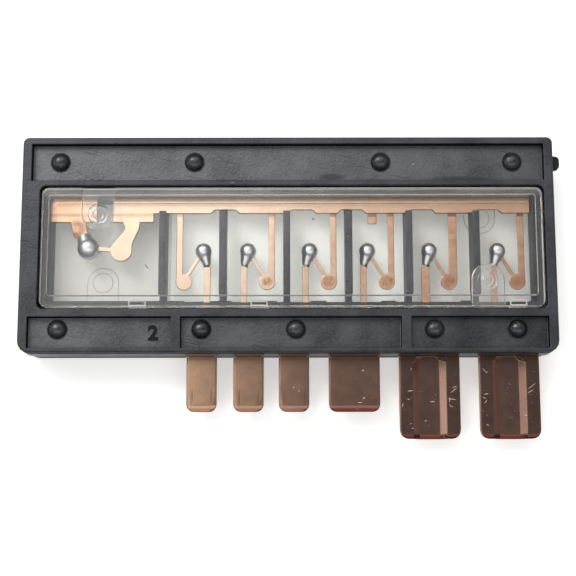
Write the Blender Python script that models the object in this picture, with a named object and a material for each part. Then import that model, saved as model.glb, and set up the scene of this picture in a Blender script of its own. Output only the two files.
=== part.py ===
"""Fuse block with six blades: one stamped copper element held between two black shells
that are staked together, with a clear cover over the window on each side.

The block lies on its back. X runs along its length, the blades point to -Y and the front
faces +Z. Sizes are in metres. The body's length is the sum of its cells and frames. Places
are given from the middle of the body, and the parent empty moves them so that the origin is
under the middle of the whole block.
"""

import math
from collections import namedtuple

import bmesh
import bpy
from mathutils import Matrix, Vector

# Clearances
CLEARANCE = 0.0003  # between pieces that seat on each other

# Body, as seen from the front
BODY_HEIGHT = 0.0342
FRONT_DEPTH = 0.0046  # from the plane where the shells part to the front
REAR_DEPTH = 0.0044  # from the back to that plane
LEFT_FRAME = 0.0032  # from the body's left side to the cover
RIGHT_FRAME = 0.0019
TOP_CORNER = 0.0009  # radius of the two upper corners
BOTTOM_CORNER = 0.0019  # radius of the two lower corners
EDGE_ROUND = 0.0004  # along the front and rear outlines
REAR_INSET = 0.0003  # the rear shell is this much smaller all round

# Copper element, with its front face in the plane where the shells part
COPPER = 0.0008  # sheet thickness
COINED = 0.0003  # the strips, links and tab are pressed this much thinner from the front

# Recesses in the front shell, where the stakes are melted over
RECESS_DEPTH = 0.0018
SIDE_RIM = 0.0015
TOP_RIM = 0.0014
TOP_RECESS_HEIGHT = 0.0056
BOTTOM_RIM = 0.0008
BOTTOM_RECESS_HEIGHT = 0.0048
DIVIDER = 0.0015
DIVIDER_AFTER_WALL = 0.0023  # the first divider, right of the first wall
DIVIDER_BEFORE_WALL = 0.0007  # the second one, left of the fifth wall

# Clear covers: one moulding, used on the front and turned over on the rear
COVER_HEIGHT = 0.0188
COVER_Y = -0.00045
COVER_CORNER = 0.0010
COVER_PLATE = 0.0009
COVER_DEPTH = 0.0020
COVER_WALL = 0.0009
COVER_LOWER_WALL = 0.0018  # thicker, because it carries the snap tabs
COVER_SUNK = 0.0002  # below the shell's face
GATE_INSET = 0.0088  # from the cover's end
GATE_Y = 0.00526
GATE_WIDTH = 0.0050
GATE_DIMPLE = 0.0016  # radius
GATE_STEP = 0.0003
TAB_PLACES = ((1, -0.00365), (2, 0.00575), (6, 0.00605))  # wall number, place from that wall
TAB_WIDTH = 0.0027
TAB_HEIGHT = 0.0010
TAB_REACH = 0.00015

# Windows through the shells
LEDGE = 0.0010  # that a cover stands on
BOTTOM_LEDGE = 0.0013
REAR_STEP = 0.0006  # the rear shell's window is this much smaller all round
WINDOW_CORNER = 0.0005

# Walls between the cells
RIB = 0.0011

# Stakes
STAKE_RADIUS = 0.0010
STAKE_HEAD_RADIUS = 0.00155
STAKE_HEAD_HEIGHT = 0.0009
STAKE_INSET = 0.0038  # from the body's upper or lower edge
TOP_LEFT_STAKE = 0.0058  # from the body's left side
TOP_RIGHT_STAKE = 0.0063  # from its right side
BOTTOM_LEFT_STAKE = 0.0060
TOP_STAKE_PLACES = ((1, 0.0049), (4, 0.0051))  # wall number, place from that wall

# Nub on the right-hand side of the front shell
NUB_BELOW_TOP = 0.0041
NUB_WIDTH = 0.0022
NUB_REACH = 0.0011
NUB_HEIGHT = 0.0012
NUB_BELOW_FRONT = 0.0008
NUB_CORNER = 0.0007

# Element, feed end; places along X are from the window's left side
FEED_HELD = 0.0014  # under the frame at the left
ELEMENT_HELD = 0.0021  # under the frame along the top
FEED_WIDTH = 0.0074
FEED_BOTTOM = 0.00437
MAIN_PELLET_PLACE = 0.0061
MAIN_PELLET_Y = 0.00013
MAIN_PELLET_RADIUS = 0.00175
MAIN_TAIL = 0.0017  # length of its tail up the neck
MAIN_TAIL_RADIUS = 0.00105  # at the tail's end
MAIN_LINK = 0.0006  # width of the main link
NECK_PLACE = 0.00425  # middle of the neck where it leaves the feed piece
NECK_BEND_PLACE = 0.00485  # its middle at the bend
NECK_BEND = 0.0020  # the bend's height above the main pellet
NECK_WIDTH = 0.0023
NECK_END = 0.0007  # what is left of it at the pellet, along X and along Y
NECK_ROUND = 0.0010
LOBE_PLACE = 0.0113
LOBE_Y = -0.00025
LOBE_RADIUS = 0.0017
LOBE_INNER = 0.00153  # the arm's outline ends this far from the lobe's middle
LOBE_SHOULDER = 0.0007
LOBE_SIDE = 0.0011
ARM_LEFT = 0.0110  # the arm that carries the lobe, where it leaves the bus
ARM_RIGHT = 0.0143
WAIST_LEFT = 0.0120  # the arm's narrowest place
WAIST_RIGHT = 0.0141
WAIST_Y = 0.0033
ARM_ROUND = 0.0008

# Element, bus
BUS_START = 0.0099  # from the window's left side
BUS_END_GAP = 0.0006  # from the bus's right end to the window
BUS_BOTTOM = 0.00577
BUS_STEP = 0.0164  # left of here the bus is as deep as the feed piece
BUS_NOTCH = 0.0006
BUS_NOTCH_LENGTH = 0.0045
BUS_TAB_CELL = 4
BUS_TAB_PLACE = 0.0039  # from the wall on that cell's left
BUS_TAB_WIDTH = 0.0014
BUS_TAB_BOTTOM = 0.0041

# Element, cells: each strip goes down to a pad, a thin link rises from there to the pellet,
# and a second strip goes down from the pellet to its blade
PELLET_Y = -0.0003
PELLET_RADIUS = 0.0013
PELLET_TAIL = 0.0025  # from the pellet's middle to the top of the lower strip
TIN_TAIL = 0.0023  # how far the tin runs down from the pellet's middle
TIN_TAIL_RADIUS = 0.00088  # at its end
TIN_FLAT = 0.0008  # from here down the tin lies on the front of the copper only
TIN_SHOULDER = 0.00015  # a tail starts this much thinner than its ball
PAD_Y = -0.00525
PAD_RADIUS = 0.0013
STRIP_OFFSET = 0.00377  # strip's middle from the pellet's middle
PAD_OFFSET = 0.00305
LOWER_STRIP_OFFSET = 0.00064
THIN_LINK = 0.0005

# Blades
SMALL_BLADE = 0.00475  # widths
WIDE_BLADE = 0.00800
LARGE_BLADE = 0.00950
SHANK_MARGIN = 0.0008  # copper above the stake holes
SMALL_BLADE_LENGTH = 0.00865  # beyond the body
LARGE_BLADE_LENGTH = 0.01285
SMALL_TIP_CORNER = 0.0012
LARGE_TIP_CORNER = 0.0014
TIP_BEVEL = 0.0008
TIP_EDGE = 0.0004  # thickness left at the bevelled edges
SIDE_BEVEL = 0.0003
LEAD_BEVEL = 0.00065  # the small blades' side bevels widen to this at the tip
LEAD_LENGTH = 0.0027  # from the tip to where they start to widen
GROOVE_DEPTH = 0.0008
GROOVE_WEB = 0.0032
GROOVE_SLOPE = 0.0010
GROOVE_START = 0.0001  # below the body
GROOVE_END = 0.0004  # length of the slope that closes the groove
GROOVE_CORNER = 0.0006  # its closed end is this much narrower at each side
ARC_STEPS = 4
ROUND_SIDES = 20

# The six small cells from the left, one value for each. Places are from the middle of the
# wall on the cell's left, and stakes are from the middle of the blade that they pass through
FEED_CELL = 0.0181  # width of the large cell at the left, up to the first wall
CELL_WIDTHS = (0.0094, 0.0100, 0.0097, 0.0094, 0.0105, 0.0096)
STRIP_SIDES = (-1, 1, 1, 1, 1, 1)  # on which side of its pellet the upper strip lies
STRIP_WIDTHS = (0.0010, 0.0010, 0.0010, 0.0010, 0.0013, 0.0010)
PELLET_PLACES = (0.00622, 0.00387, 0.00360, 0.00304, 0.00343, 0.00373)
NOTCH_PLACES = (0.0074, 0.0102, 0.0081, 0.0095, 0.0106, None)
BLADE_PLACES = (0.00610, 0.00401, 0.00110, 0.00080, 0.00310, 0.00504)
BLADE_WIDTHS = (SMALL_BLADE, SMALL_BLADE, SMALL_BLADE, WIDE_BLADE, LARGE_BLADE, LARGE_BLADE)
BLADE_STAKES = (0.0001, None, 0.0003, None, 0.0006, 0.0010)

# Levels along Z, worked out from the sizes above
BODY_DEPTH = REAR_DEPTH + FRONT_DEPTH
PARTING = REAR_DEPTH
COPPER_FRONT = PARTING
COPPER_BACK = COPPER_FRONT - COPPER
LINK_FRONT = COPPER_FRONT - COINED
POCKET_FLOOR = COPPER_BACK - CLEARANCE
FRONT_SHELL_BACK = PARTING + CLEARANCE
RECESS_FLOOR = BODY_DEPTH - RECESS_DEPTH
FRONT_COVER_FACE = BODY_DEPTH - COVER_SUNK
REAR_COVER_FACE = COVER_SUNK
FRONT_SEAT = FRONT_COVER_FACE - COVER_DEPTH - CLEARANCE
REAR_SEAT = REAR_COVER_FACE + COVER_DEPTH + CLEARANCE
RIB_FRONT = FRONT_COVER_FACE - COVER_PLATE - CLEARANCE

# Places in the plane of the body
WINDOW_WIDTH = FEED_CELL + sum(CELL_WIDTHS)
OPENING_WIDTH = WINDOW_WIDTH + 2 * LEDGE
COVER_WIDTH = OPENING_WIDTH - 2 * CLEARANCE
COVER_X = (LEFT_FRAME - RIGHT_FRAME) / 2
COVER_INNER_BOTTOM = COVER_Y - COVER_HEIGHT / 2 + COVER_LOWER_WALL
BODY_WIDTH = COVER_WIDTH + LEFT_FRAME + RIGHT_FRAME
BODY_LEFT = -BODY_WIDTH / 2
BODY_RIGHT = BODY_WIDTH / 2
BODY_TOP = BODY_HEIGHT / 2
BODY_BOTTOM = -BODY_HEIGHT / 2
OPENING_HEIGHT = COVER_HEIGHT + TAB_REACH + 2 * CLEARANCE
OPENING_Y = COVER_Y - TAB_REACH / 2
WINDOW_LEFT = COVER_X - WINDOW_WIDTH / 2
WINDOW_RIGHT = COVER_X + WINDOW_WIDTH / 2
WINDOW_TOP = OPENING_Y + OPENING_HEIGHT / 2 - LEDGE
WINDOW_BOTTOM = OPENING_Y - OPENING_HEIGHT / 2 + BOTTOM_LEDGE
WALL_XS = [WINDOW_LEFT + FEED_CELL + sum(CELL_WIDTHS[:index]) for index in range(len(CELL_WIDTHS))]
TOP_STAKE_Y = BODY_TOP - STAKE_INSET
BOTTOM_STAKE_Y = BODY_BOTTOM + STAKE_INSET
SHANK_TOP = BOTTOM_STAKE_Y + STAKE_RADIUS + CLEARANCE + SHANK_MARGIN
ELEMENT_TOP = WINDOW_TOP + ELEMENT_HELD
FEED_LEFT = WINDOW_LEFT - FEED_HELD
FEED_RIGHT = WINDOW_LEFT + FEED_WIDTH
MAIN_PELLET = Vector((WINDOW_LEFT + MAIN_PELLET_PLACE, MAIN_PELLET_Y))
NECK_BEND_POINT = Vector((WINDOW_LEFT + NECK_BEND_PLACE, MAIN_PELLET_Y + NECK_BEND))
LOBE = Vector((WINDOW_LEFT + LOBE_PLACE, LOBE_Y))
BUS_LEFT = WINDOW_LEFT + BUS_START
BUS_RIGHT = WINDOW_RIGHT - BUS_END_GAP
NUB_Y = BODY_TOP - NUB_BELOW_TOP
LONG = 0.01  # how far a cutter runs past what it cuts
LAP = 0.0010  # how far one shape runs into the next before they are joined
SAME = 1e-7  # points closer than this are one point

# One small cell: the places along X of its left wall, strip, pad, pellet, lower strip, notch,
# blade and stake, and the widths of its strips and its blade
Cell = namedtuple("Cell", "name wall strip_x pad_x pellet_x lower_x notch_x blade_x stake_x strip blade")


def lay_out_cells():
    """Works out the six small cells from the values above."""
    cells = []
    for index, wall in enumerate(WALL_XS):
        side, pellet_x = STRIP_SIDES[index], wall + PELLET_PLACES[index]
        blade_x = wall + BLADE_PLACES[index]
        notch, stake_place = NOTCH_PLACES[index], BLADE_STAKES[index]
        cells.append(
            Cell(
                name=str(index + 1),
                wall=wall,
                strip_x=pellet_x + side * STRIP_OFFSET,
                pad_x=pellet_x + side * PAD_OFFSET,
                pellet_x=pellet_x,
                lower_x=pellet_x - side * LOWER_STRIP_OFFSET,
                notch_x=None if notch is None else wall + notch,
                blade_x=blade_x,
                stake_x=None if stake_place is None else blade_x + stake_place,
                strip=STRIP_WIDTHS[index],
                blade=BLADE_WIDTHS[index],
            )
        )
    return cells


CELLS = lay_out_cells()


def clear_scene():
    """Empties the file of every object and mesh."""
    for obj in list(bpy.data.objects):
        bpy.data.objects.remove(obj, do_unlink=True)
    for mesh in list(bpy.data.meshes):
        bpy.data.meshes.remove(mesh)


def finish(name, colour, roughness, metallic=0.0, transmission=0.0):
    """A plain Principled material in linear colour."""
    material = bpy.data.materials.new(name)
    material.use_nodes = True
    shader = material.node_tree.nodes["Principled BSDF"]
    shader.inputs["Base Color"].default_value = (*colour, 1.0)
    shader.inputs["Roughness"].default_value = roughness
    shader.inputs["Metallic"].default_value = metallic
    shader.inputs["Transmission Weight"].default_value = transmission
    return material


def to_object(name, mesh_data):
    """Turns a bmesh into an object of the scene, with its faces pointing out."""
    bmesh.ops.recalc_face_normals(mesh_data, faces=mesh_data.faces)
    mesh = bpy.data.meshes.new(name)
    mesh_data.to_mesh(mesh)
    mesh_data.free()
    obj = bpy.data.objects.new(name, mesh)
    bpy.context.scene.collection.objects.link(obj)
    return obj


def rounded(corners):
    """Outline points from (x, y, radius) corners, each corner turned into an arc."""
    points = []
    for index, (x, y, radius) in enumerate(corners):
        corner = Vector((x, y))
        if radius <= 0:
            points.append(corner)
            continue
        before = Vector(corners[index - 1][:2]) - corner
        after = Vector(corners[(index + 1) % len(corners)][:2]) - corner
        half = before.angle(after) / 2
        start = corner + before.normalized() * radius / math.tan(half)
        end = corner + after.normalized() * radius / math.tan(half)
        middle = corner + (before.normalized() + after.normalized()).normalized() * radius / math.sin(half)
        sweep = (start - middle).angle_signed(end - middle)
        for step in range(ARC_STEPS + 1):
            arm = (start - middle).copy()
            arm.rotate(Matrix.Rotation(-sweep * step / ARC_STEPS, 2))
            points.append(middle + arm)
    return [point for index, point in enumerate(points) if (point - points[index - 1]).length > SAME]


def rectangle(left, right, bottom, top, radius=0.0):
    """Outline of a rectangle with equal corners."""
    return rounded([(left, bottom, radius), (right, bottom, radius), (right, top, radius), (left, top, radius)])


def prism(name, outline, low, high, edge_round=0.0, round_low=False, round_high=False):
    """A solid with this outline between two levels, with either rim rounded on request."""
    mesh_data = bmesh.new()
    face = mesh_data.faces.new([mesh_data.verts.new((x, y, low)) for x, y in outline])
    raised = bmesh.ops.extrude_face_region(mesh_data, geom=[face])
    moved = [item for item in raised["geom"] if isinstance(item, bmesh.types.BMVert)]
    bmesh.ops.translate(mesh_data, verts=moved, vec=(0, 0, high - low))
    levels = [level for level, wanted in ((low, round_low), (high, round_high)) if wanted]
    rims = [
        edge
        for edge in mesh_data.edges
        if any(all(abs(vert.co.z - level) < SAME for vert in edge.verts) for level in levels)
    ]
    if rims and edge_round > 0:
        bmesh.ops.bevel(
            mesh_data, geom=rims, offset=edge_round, segments=2, profile=0.5, affect="EDGES", clamp_overlap=True
        )
    return to_object(name, mesh_data)


def box(name, left, right, bottom, top, low, high):
    """A plain box given by its six sides."""
    return prism(name, rectangle(left, right, bottom, top), low, high)


def disc(name, x, y, radius, low, high):
    """A round bar along Z."""
    turn = 2 * math.pi / ROUND_SIDES
    outline = [
        (x + radius * math.cos(step * turn), y + radius * math.sin(step * turn)) for step in range(ROUND_SIDES)
    ]
    return prism(name, outline, low, high)


def bar(name, start, end, width, low, high):
    """A straight strip of sheet between two points."""
    a, b = Vector(start), Vector(end)
    across = (b - a).normalized().orthogonal() * width / 2
    return prism(name, [a + across, a - across, b - across, b + across], low, high)


def combine(obj, others, operation):
    """Joins or cuts an object by several others, then removes those."""
    group = bpy.data.collections.new("operands")
    bpy.context.scene.collection.children.link(group)
    for other in others:
        bpy.context.scene.collection.objects.unlink(other)
        group.objects.link(other)
    modifier = obj.modifiers.new(operation.title(), "BOOLEAN")
    modifier.operation = operation
    modifier.solver = "EXACT"
    modifier.operand_type = "COLLECTION"
    modifier.collection = group
    modifier.use_self = True
    graph = bpy.context.evaluated_depsgraph_get()
    joined = bpy.data.meshes.new_from_object(obj.evaluated_get(graph))
    obj.modifiers.clear()
    obj.data = joined
    for other in list(group.objects):
        bpy.data.objects.remove(other, do_unlink=True)
    bpy.data.collections.remove(group)
    tidy = bmesh.new()
    tidy.from_mesh(joined)
    bmesh.ops.remove_doubles(tidy, verts=tidy.verts, dist=SAME)
    bmesh.ops.dissolve_limit(tidy, angle_limit=math.radians(0.5), verts=tidy.verts, edges=tidy.edges)
    tidy.to_mesh(joined)
    tidy.free()
    return obj


def body_outline(inset=0.0):
    """The outline that both shells share."""
    left, right = BODY_LEFT + inset, BODY_RIGHT - inset
    return rounded(
        [
            (left, BODY_BOTTOM + inset, BOTTOM_CORNER),
            (right, BODY_BOTTOM + inset, BOTTOM_CORNER),
            (right, BODY_TOP - inset, TOP_CORNER),
            (left, BODY_TOP - inset, TOP_CORNER),
        ]
    )


def cover_opening(name, middle_y, low, high):
    """Cutter for the well that a cover sits in."""
    left = COVER_X - OPENING_WIDTH / 2
    bottom = middle_y - OPENING_HEIGHT / 2
    outline = rectangle(left, left + OPENING_WIDTH, bottom, bottom + OPENING_HEIGHT, COVER_CORNER)
    return prism(name, outline, low, high)


def window(name, inset, low, high):
    """Cutter for the window through a shell."""
    outline = rectangle(
        WINDOW_LEFT + inset, WINDOW_RIGHT - inset, WINDOW_BOTTOM + inset, WINDOW_TOP - inset, WINDOW_CORNER
    )
    return prism(name, outline, low, high)


def stake_places():
    """Middles of the nine stakes."""
    upper = [BODY_LEFT + TOP_LEFT_STAKE, BODY_RIGHT - TOP_RIGHT_STAKE]
    upper += [WALL_XS[number - 1] + place for number, place in TOP_STAKE_PLACES]
    lower = [BODY_LEFT + BOTTOM_LEFT_STAKE]
    lower += [cell.stake_x for cell in CELLS if cell.stake_x is not None]
    return [(x, TOP_STAKE_Y) for x in upper] + [(x, BOTTOM_STAKE_Y) for x in lower]


def front_shell():
    """Front half of the housing: recesses, stake holes, cover well, window and side nub."""
    shell = prism(
        "front_shell", body_outline(), FRONT_SHELL_BACK, BODY_DEPTH, EDGE_ROUND, round_high=True
    )
    nub_top = BODY_DEPTH - NUB_BELOW_FRONT
    nub = prism(
        "nub",
        rounded(
            [
                (BODY_RIGHT - SIDE_RIM / 2, NUB_Y - NUB_WIDTH / 2, 0),
                (BODY_RIGHT + NUB_REACH, NUB_Y - NUB_WIDTH / 2, NUB_CORNER),
                (BODY_RIGHT + NUB_REACH, NUB_Y + NUB_WIDTH / 2, NUB_CORNER),
                (BODY_RIGHT - SIDE_RIM / 2, NUB_Y + NUB_WIDTH / 2, 0),
            ]
        ),
        nub_top - NUB_HEIGHT,
        nub_top,
    )
    combine(shell, [nub], "UNION")
    inner_left, inner_right = BODY_LEFT + SIDE_RIM, BODY_RIGHT - SIDE_RIM
    top = BODY_TOP - TOP_RIM
    bottom = BODY_BOTTOM + BOTTOM_RIM
    over = BODY_DEPTH + LONG
    cutters = [box("recess", inner_left, inner_right, top - TOP_RECESS_HEIGHT, top, RECESS_FLOOR, over)]
    dividers = (WALL_XS[0] + DIVIDER_AFTER_WALL, WALL_XS[4] - DIVIDER_BEFORE_WALL)
    starts = [inner_left] + [x + DIVIDER / 2 for x in dividers]
    ends = [x - DIVIDER / 2 for x in dividers] + [inner_right]
    for start, end in zip(starts, ends):
        cutters.append(box("recess", start, end, bottom, bottom + BOTTOM_RECESS_HEIGHT, RECESS_FLOOR, over))
    for x, y in stake_places():
        cutters.append(disc("hole", x, y, STAKE_RADIUS + CLEARANCE, -LONG, over))
    combine(shell, cutters, "DIFFERENCE")
    cutters = [cover_opening("well", OPENING_Y, FRONT_SEAT, over), window("window", 0.0, -LONG, over)]
    return combine(shell, cutters, "DIFFERENCE")


def stake(x, y):
    """A stake that stands on the rear shell, with its head melted over in the recess."""
    mesh_data = bmesh.new()
    foot = POCKET_FLOOR - CLEARANCE
    seat = RECESS_FLOOR + CLEARANCE
    profile = [(0.0, foot), (STAKE_RADIUS, foot), (STAKE_RADIUS, seat), (STAKE_HEAD_RADIUS, seat)]
    for step in range(1, ARC_STEPS + 1):
        turn = math.pi / 2 * step / ARC_STEPS
        profile.append((STAKE_HEAD_RADIUS * math.cos(turn), seat + STAKE_HEAD_HEIGHT * math.sin(turn)))
    profile[-1] = (0.0, seat + STAKE_HEAD_HEIGHT)
    verts = [mesh_data.verts.new((radius, 0.0, level)) for radius, level in profile]
    edges = [mesh_data.edges.new(pair) for pair in zip(verts, verts[1:])]
    bmesh.ops.spin(
        mesh_data,
        geom=verts + edges,
        cent=(0, 0, 0),
        axis=(0, 0, 1),
        angle=2 * math.pi,
        steps=ROUND_SIDES,
        use_merge=True,
    )
    bmesh.ops.remove_doubles(mesh_data, verts=mesh_data.verts, dist=1e-6)
    bmesh.ops.translate(mesh_data, verts=mesh_data.verts, vec=(x, y, 0))
    return to_object("stake", mesh_data)


def rib(x):
    """A wall between two cells: low behind the bus and the cover's lower wall, and up to the
    cover's plate between them."""
    left, right = x - RIB / 2, x + RIB / 2
    floor = WINDOW_BOTTOM + REAR_STEP
    ceiling = WINDOW_TOP - REAR_STEP
    low = box("rib", left, right, floor - LAP, ceiling + LAP, REAR_SEAT, POCKET_FLOOR)
    shoulder = box("rib", left, right, floor - LAP, BUS_BOTTOM - CLEARANCE, REAR_SEAT, PARTING)
    foot, head = COVER_INNER_BOTTOM + CLEARANCE, BUS_BOTTOM - CLEARANCE
    tall = box("rib", left, right, foot, head, REAR_SEAT, RIB_FRONT)
    return [low, shoulder, tall]


def rear_shell():
    """Rear half of the housing: window, ribs, pocket for the bus, slots for the blades, stakes."""
    shell = prism("rear_shell", body_outline(REAR_INSET), 0.0, PARTING, EDGE_ROUND, round_low=True)
    top = ELEMENT_TOP + CLEARANCE
    cutters = [
        cover_opening("well", -OPENING_Y, -LONG, REAR_SEAT),
        window("window", REAR_STEP, -LONG, LONG),
        box("pocket", FEED_LEFT - CLEARANCE, FEED_RIGHT, FEED_BOTTOM - CLEARANCE, top, POCKET_FLOOR, LONG),
        box("pocket", FEED_RIGHT - LEDGE, BUS_RIGHT + CLEARANCE, BUS_BOTTOM, top, POCKET_FLOOR, LONG),
    ]
    slot_top = WINDOW_BOTTOM + 2 * REAR_STEP
    for cell in CELLS:
        reach = cell.blade / 2 + CLEARANCE
        left, right = cell.blade_x - reach, cell.blade_x + reach
        cutters.append(box("slot", left, right, BODY_BOTTOM - LONG, slot_top, POCKET_FLOOR, LONG))
    combine(shell, cutters, "DIFFERENCE")
    parts = [stake(x, y) for x, y in stake_places()]
    for cell in CELLS:
        parts += rib(cell.wall)
    return combine(shell, parts, "UNION")


def cover(name):
    """A clear cover with its face at Z = 0: plate, wall, gate marks and snap tabs."""
    half_width, half_height = COVER_WIDTH / 2, COVER_HEIGHT / 2
    outer = rectangle(-half_width, half_width, -half_height, half_height, COVER_CORNER)
    tray = prism(name, outer, -COVER_DEPTH, 0.0)
    tab_top, tab_bottom = -half_height + COVER_WALL / 2, -half_height - TAB_REACH
    tabs = []
    for number, place in TAB_PLACES:
        x = WALL_XS[number - 1] + place - COVER_X
        left, right = x - TAB_WIDTH / 2, x + TAB_WIDTH / 2
        tabs.append(box("tab", left, right, tab_bottom, tab_top, -COVER_DEPTH, TAB_HEIGHT - COVER_DEPTH))
    combine(tray, tabs, "UNION")
    inner_width, inner_top = half_width - COVER_WALL, half_height - COVER_WALL
    inside = rectangle(-inner_width, inner_width, COVER_LOWER_WALL - half_height, inner_top, WINDOW_CORNER)
    cutters = [prism("inside", inside, -COVER_DEPTH - LONG, -COVER_PLATE)]
    for side in (-1, 1):
        end = side * (GATE_Y - GATE_WIDTH / 2)
        x = -side * (half_width - GATE_INSET)
        half_gate = GATE_WIDTH / 2
        gate = rounded(
            [
                (x + half_gate, side * (half_height + LONG), 0),
                (x - half_gate, side * (half_height + LONG), 0),
                (x - half_gate, end, half_gate),
                (x + half_gate, end, half_gate),
            ]
        )
        cutters.append(prism("gate", gate, -GATE_STEP, LONG))
        cutters.append(disc("dimple", x, side * GATE_Y, GATE_DIMPLE, -2 * GATE_STEP, LONG))
    return combine(tray, cutters, "DIFFERENCE")


def front_cover():
    """The cover over the front window."""
    tray = cover("front_cover")
    tray.location = (COVER_X, COVER_Y, FRONT_COVER_FACE)
    return tray


def rear_cover():
    """The same cover turned over on the rear window."""
    tray = cover("rear_cover")
    tray.rotation_euler = (math.pi, 0, 0)
    tray.location = (COVER_X, -COVER_Y, REAR_COVER_FACE)
    return tray


def blade(cell):
    """A blade lofted down from its shank in the body, with bevelled sides and tip and, on the
    large ones, a groove pressed back between two flanges."""
    large = cell.blade == LARGE_BLADE
    corner = LARGE_TIP_CORNER if large else SMALL_TIP_CORNER
    lead = LEAD_BEVEL if cell.blade == SMALL_BLADE else SIDE_BEVEL
    tip = BODY_BOTTOM - (LARGE_BLADE_LENGTH if large else SMALL_BLADE_LENGTH)
    groove_top, narrow = BODY_BOTTOM - GROOVE_START, GROOVE_WEB / 2 - GROOVE_CORNER
    web, full, edge = GROOVE_WEB / 2, COPPER / 2, TIP_EDGE / 2
    stations = [(y, 0.0, narrow, 0.0, full, full, SIDE_BEVEL) for y in (SHANK_TOP, BODY_BOTTOM)]
    stations.append((groove_top, 0.0, narrow, 0.0, full, edge, SIDE_BEVEL))
    stations.append((groove_top - GROOVE_END, GROOVE_DEPTH, narrow, 0.0, full, edge, SIDE_BEVEL))
    stations.append((groove_top - GROOVE_END - GROOVE_CORNER, GROOVE_DEPTH, web, 0.0, full, edge, SIDE_BEVEL))
    stations.append((tip + LEAD_LENGTH, GROOVE_DEPTH, web, 0.0, full, edge, SIDE_BEVEL))
    for step in range(ARC_STEPS + 1):
        turn = math.pi / 2 * step / ARC_STEPS
        y = tip + corner * (1 - math.sin(turn))
        narrowed = corner * (1 - math.cos(turn))
        share = min(1.0, (y - tip) / TIP_BEVEL)
        thick = edge + (full - edge) * share
        stations.append((y, GROOVE_DEPTH, web, narrowed, thick, edge, lead))
    middle = (COPPER_FRONT + COPPER_BACK) / 2
    mesh_data = bmesh.new()
    rings = []
    for y, sunk, floor, narrowed, thick, edge, bevel in stations:
        reach, slope = cell.blade / 2 - narrowed, floor + GROOVE_SLOPE
        groove = [(-slope, 0.0), (-floor, sunk), (floor, sunk), (slope, 0.0)] if large else []
        face = [(-reach + bevel, 0.0)] + groove + [(reach - bevel, 0.0)]
        front = [(-reach, edge)] + [(x, thick - drop) for x, drop in face] + [(reach, edge)]
        back = [(reach, -edge)] + [(x, -thick - drop) for x, drop in reversed(face)] + [(-reach, -edge)]
        rings.append([mesh_data.verts.new((cell.blade_x + x, y, middle + z)) for x, z in front + back])
    for ring, following in zip(rings, rings[1:]):
        for index in range(len(ring)):
            ahead = (index + 1) % len(ring)
            mesh_data.faces.new([ring[index], ring[ahead], following[ahead], following[index]])
    mesh_data.faces.new(rings[0])
    mesh_data.faces.new(rings[-1])
    return to_object("blade", mesh_data)


def feed_end(low, high):
    """Left end of the element: feed piece, its neck, the main link and the lobe."""
    half, end = NECK_WIDTH / 2, NECK_END / 2
    neck_x = WINDOW_LEFT + NECK_PLACE
    neck = rounded(
        [
            (neck_x - half, FEED_BOTTOM + LAP, 0),
            (NECK_BEND_POINT.x - half, NECK_BEND_POINT.y, NECK_ROUND),
            (MAIN_PELLET.x - end, MAIN_PELLET.y - end, 0),
            (MAIN_PELLET.x + end, MAIN_PELLET.y + end, 0),
            (NECK_BEND_POINT.x + half, NECK_BEND_POINT.y, NECK_ROUND),
            (neck_x + half, FEED_BOTTOM + LAP, 0),
        ]
    )
    lobe = rounded(
        [
            (WINDOW_LEFT + ARM_LEFT, FEED_BOTTOM + LAP, 0),
            (WINDOW_LEFT + WAIST_LEFT, WAIST_Y, ARM_ROUND),
            (LOBE.x - LOBE_INNER, LOBE.y + LOBE_SHOULDER, 0),
            (LOBE.x, LOBE.y - LOBE_INNER, 0),
            (LOBE.x + LOBE_RADIUS, LOBE.y, ARM_ROUND),
            (LOBE.x + LOBE_RADIUS, LOBE.y + LOBE_SIDE, ARM_ROUND),
            (WINDOW_LEFT + WAIST_RIGHT, WAIST_Y, ARM_ROUND),
            (WINDOW_LEFT + ARM_RIGHT, FEED_BOTTOM + LAP, 0),
        ]
    )
    return [
        prism("feed", rectangle(FEED_LEFT, FEED_RIGHT, FEED_BOTTOM, ELEMENT_TOP), low, high),
        prism("neck", neck, low, high),
        bar("main_link", MAIN_PELLET, LOBE, MAIN_LINK, low, high),
        prism("lobe", lobe, low, high),
        disc("lobe_end", LOBE.x, LOBE.y, LOBE_RADIUS, low, high),
    ]


def bus(low, high):
    """The bus, its deeper left end and the short tab in the fourth cell."""
    tab_left = WALL_XS[BUS_TAB_CELL - 1] + BUS_TAB_PLACE - BUS_TAB_WIDTH / 2
    tab_right = tab_left + BUS_TAB_WIDTH
    return [
        box("bus", BUS_LEFT, BUS_RIGHT, BUS_BOTTOM, ELEMENT_TOP, low, high),
        box("bus_end", BUS_LEFT, WINDOW_LEFT + BUS_STEP, FEED_BOTTOM, BUS_BOTTOM + LAP, low, high),
        box("tab", tab_left, tab_right, BUS_TAB_BOTTOM, BUS_BOTTOM + LAP, low, LINK_FRONT),
    ]


def bus_notches(low, high):
    """Cutters for the raised notches in the bus's lower edge."""
    notches = []
    for cell in CELLS:
        if cell.notch_x is None:
            continue
        start, end = cell.notch_x, cell.notch_x + BUS_NOTCH_LENGTH
        outline = [
            (start, BUS_BOTTOM - BUS_NOTCH),
            (end, BUS_BOTTOM - BUS_NOTCH),
            (end, BUS_BOTTOM),
            (end - BUS_NOTCH, BUS_BOTTOM + BUS_NOTCH),
            (start + BUS_NOTCH, BUS_BOTTOM + BUS_NOTCH),
            (start, BUS_BOTTOM),
        ]
        notches.append(prism("notch", outline, low - LONG, high + LONG))
    return notches


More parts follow.
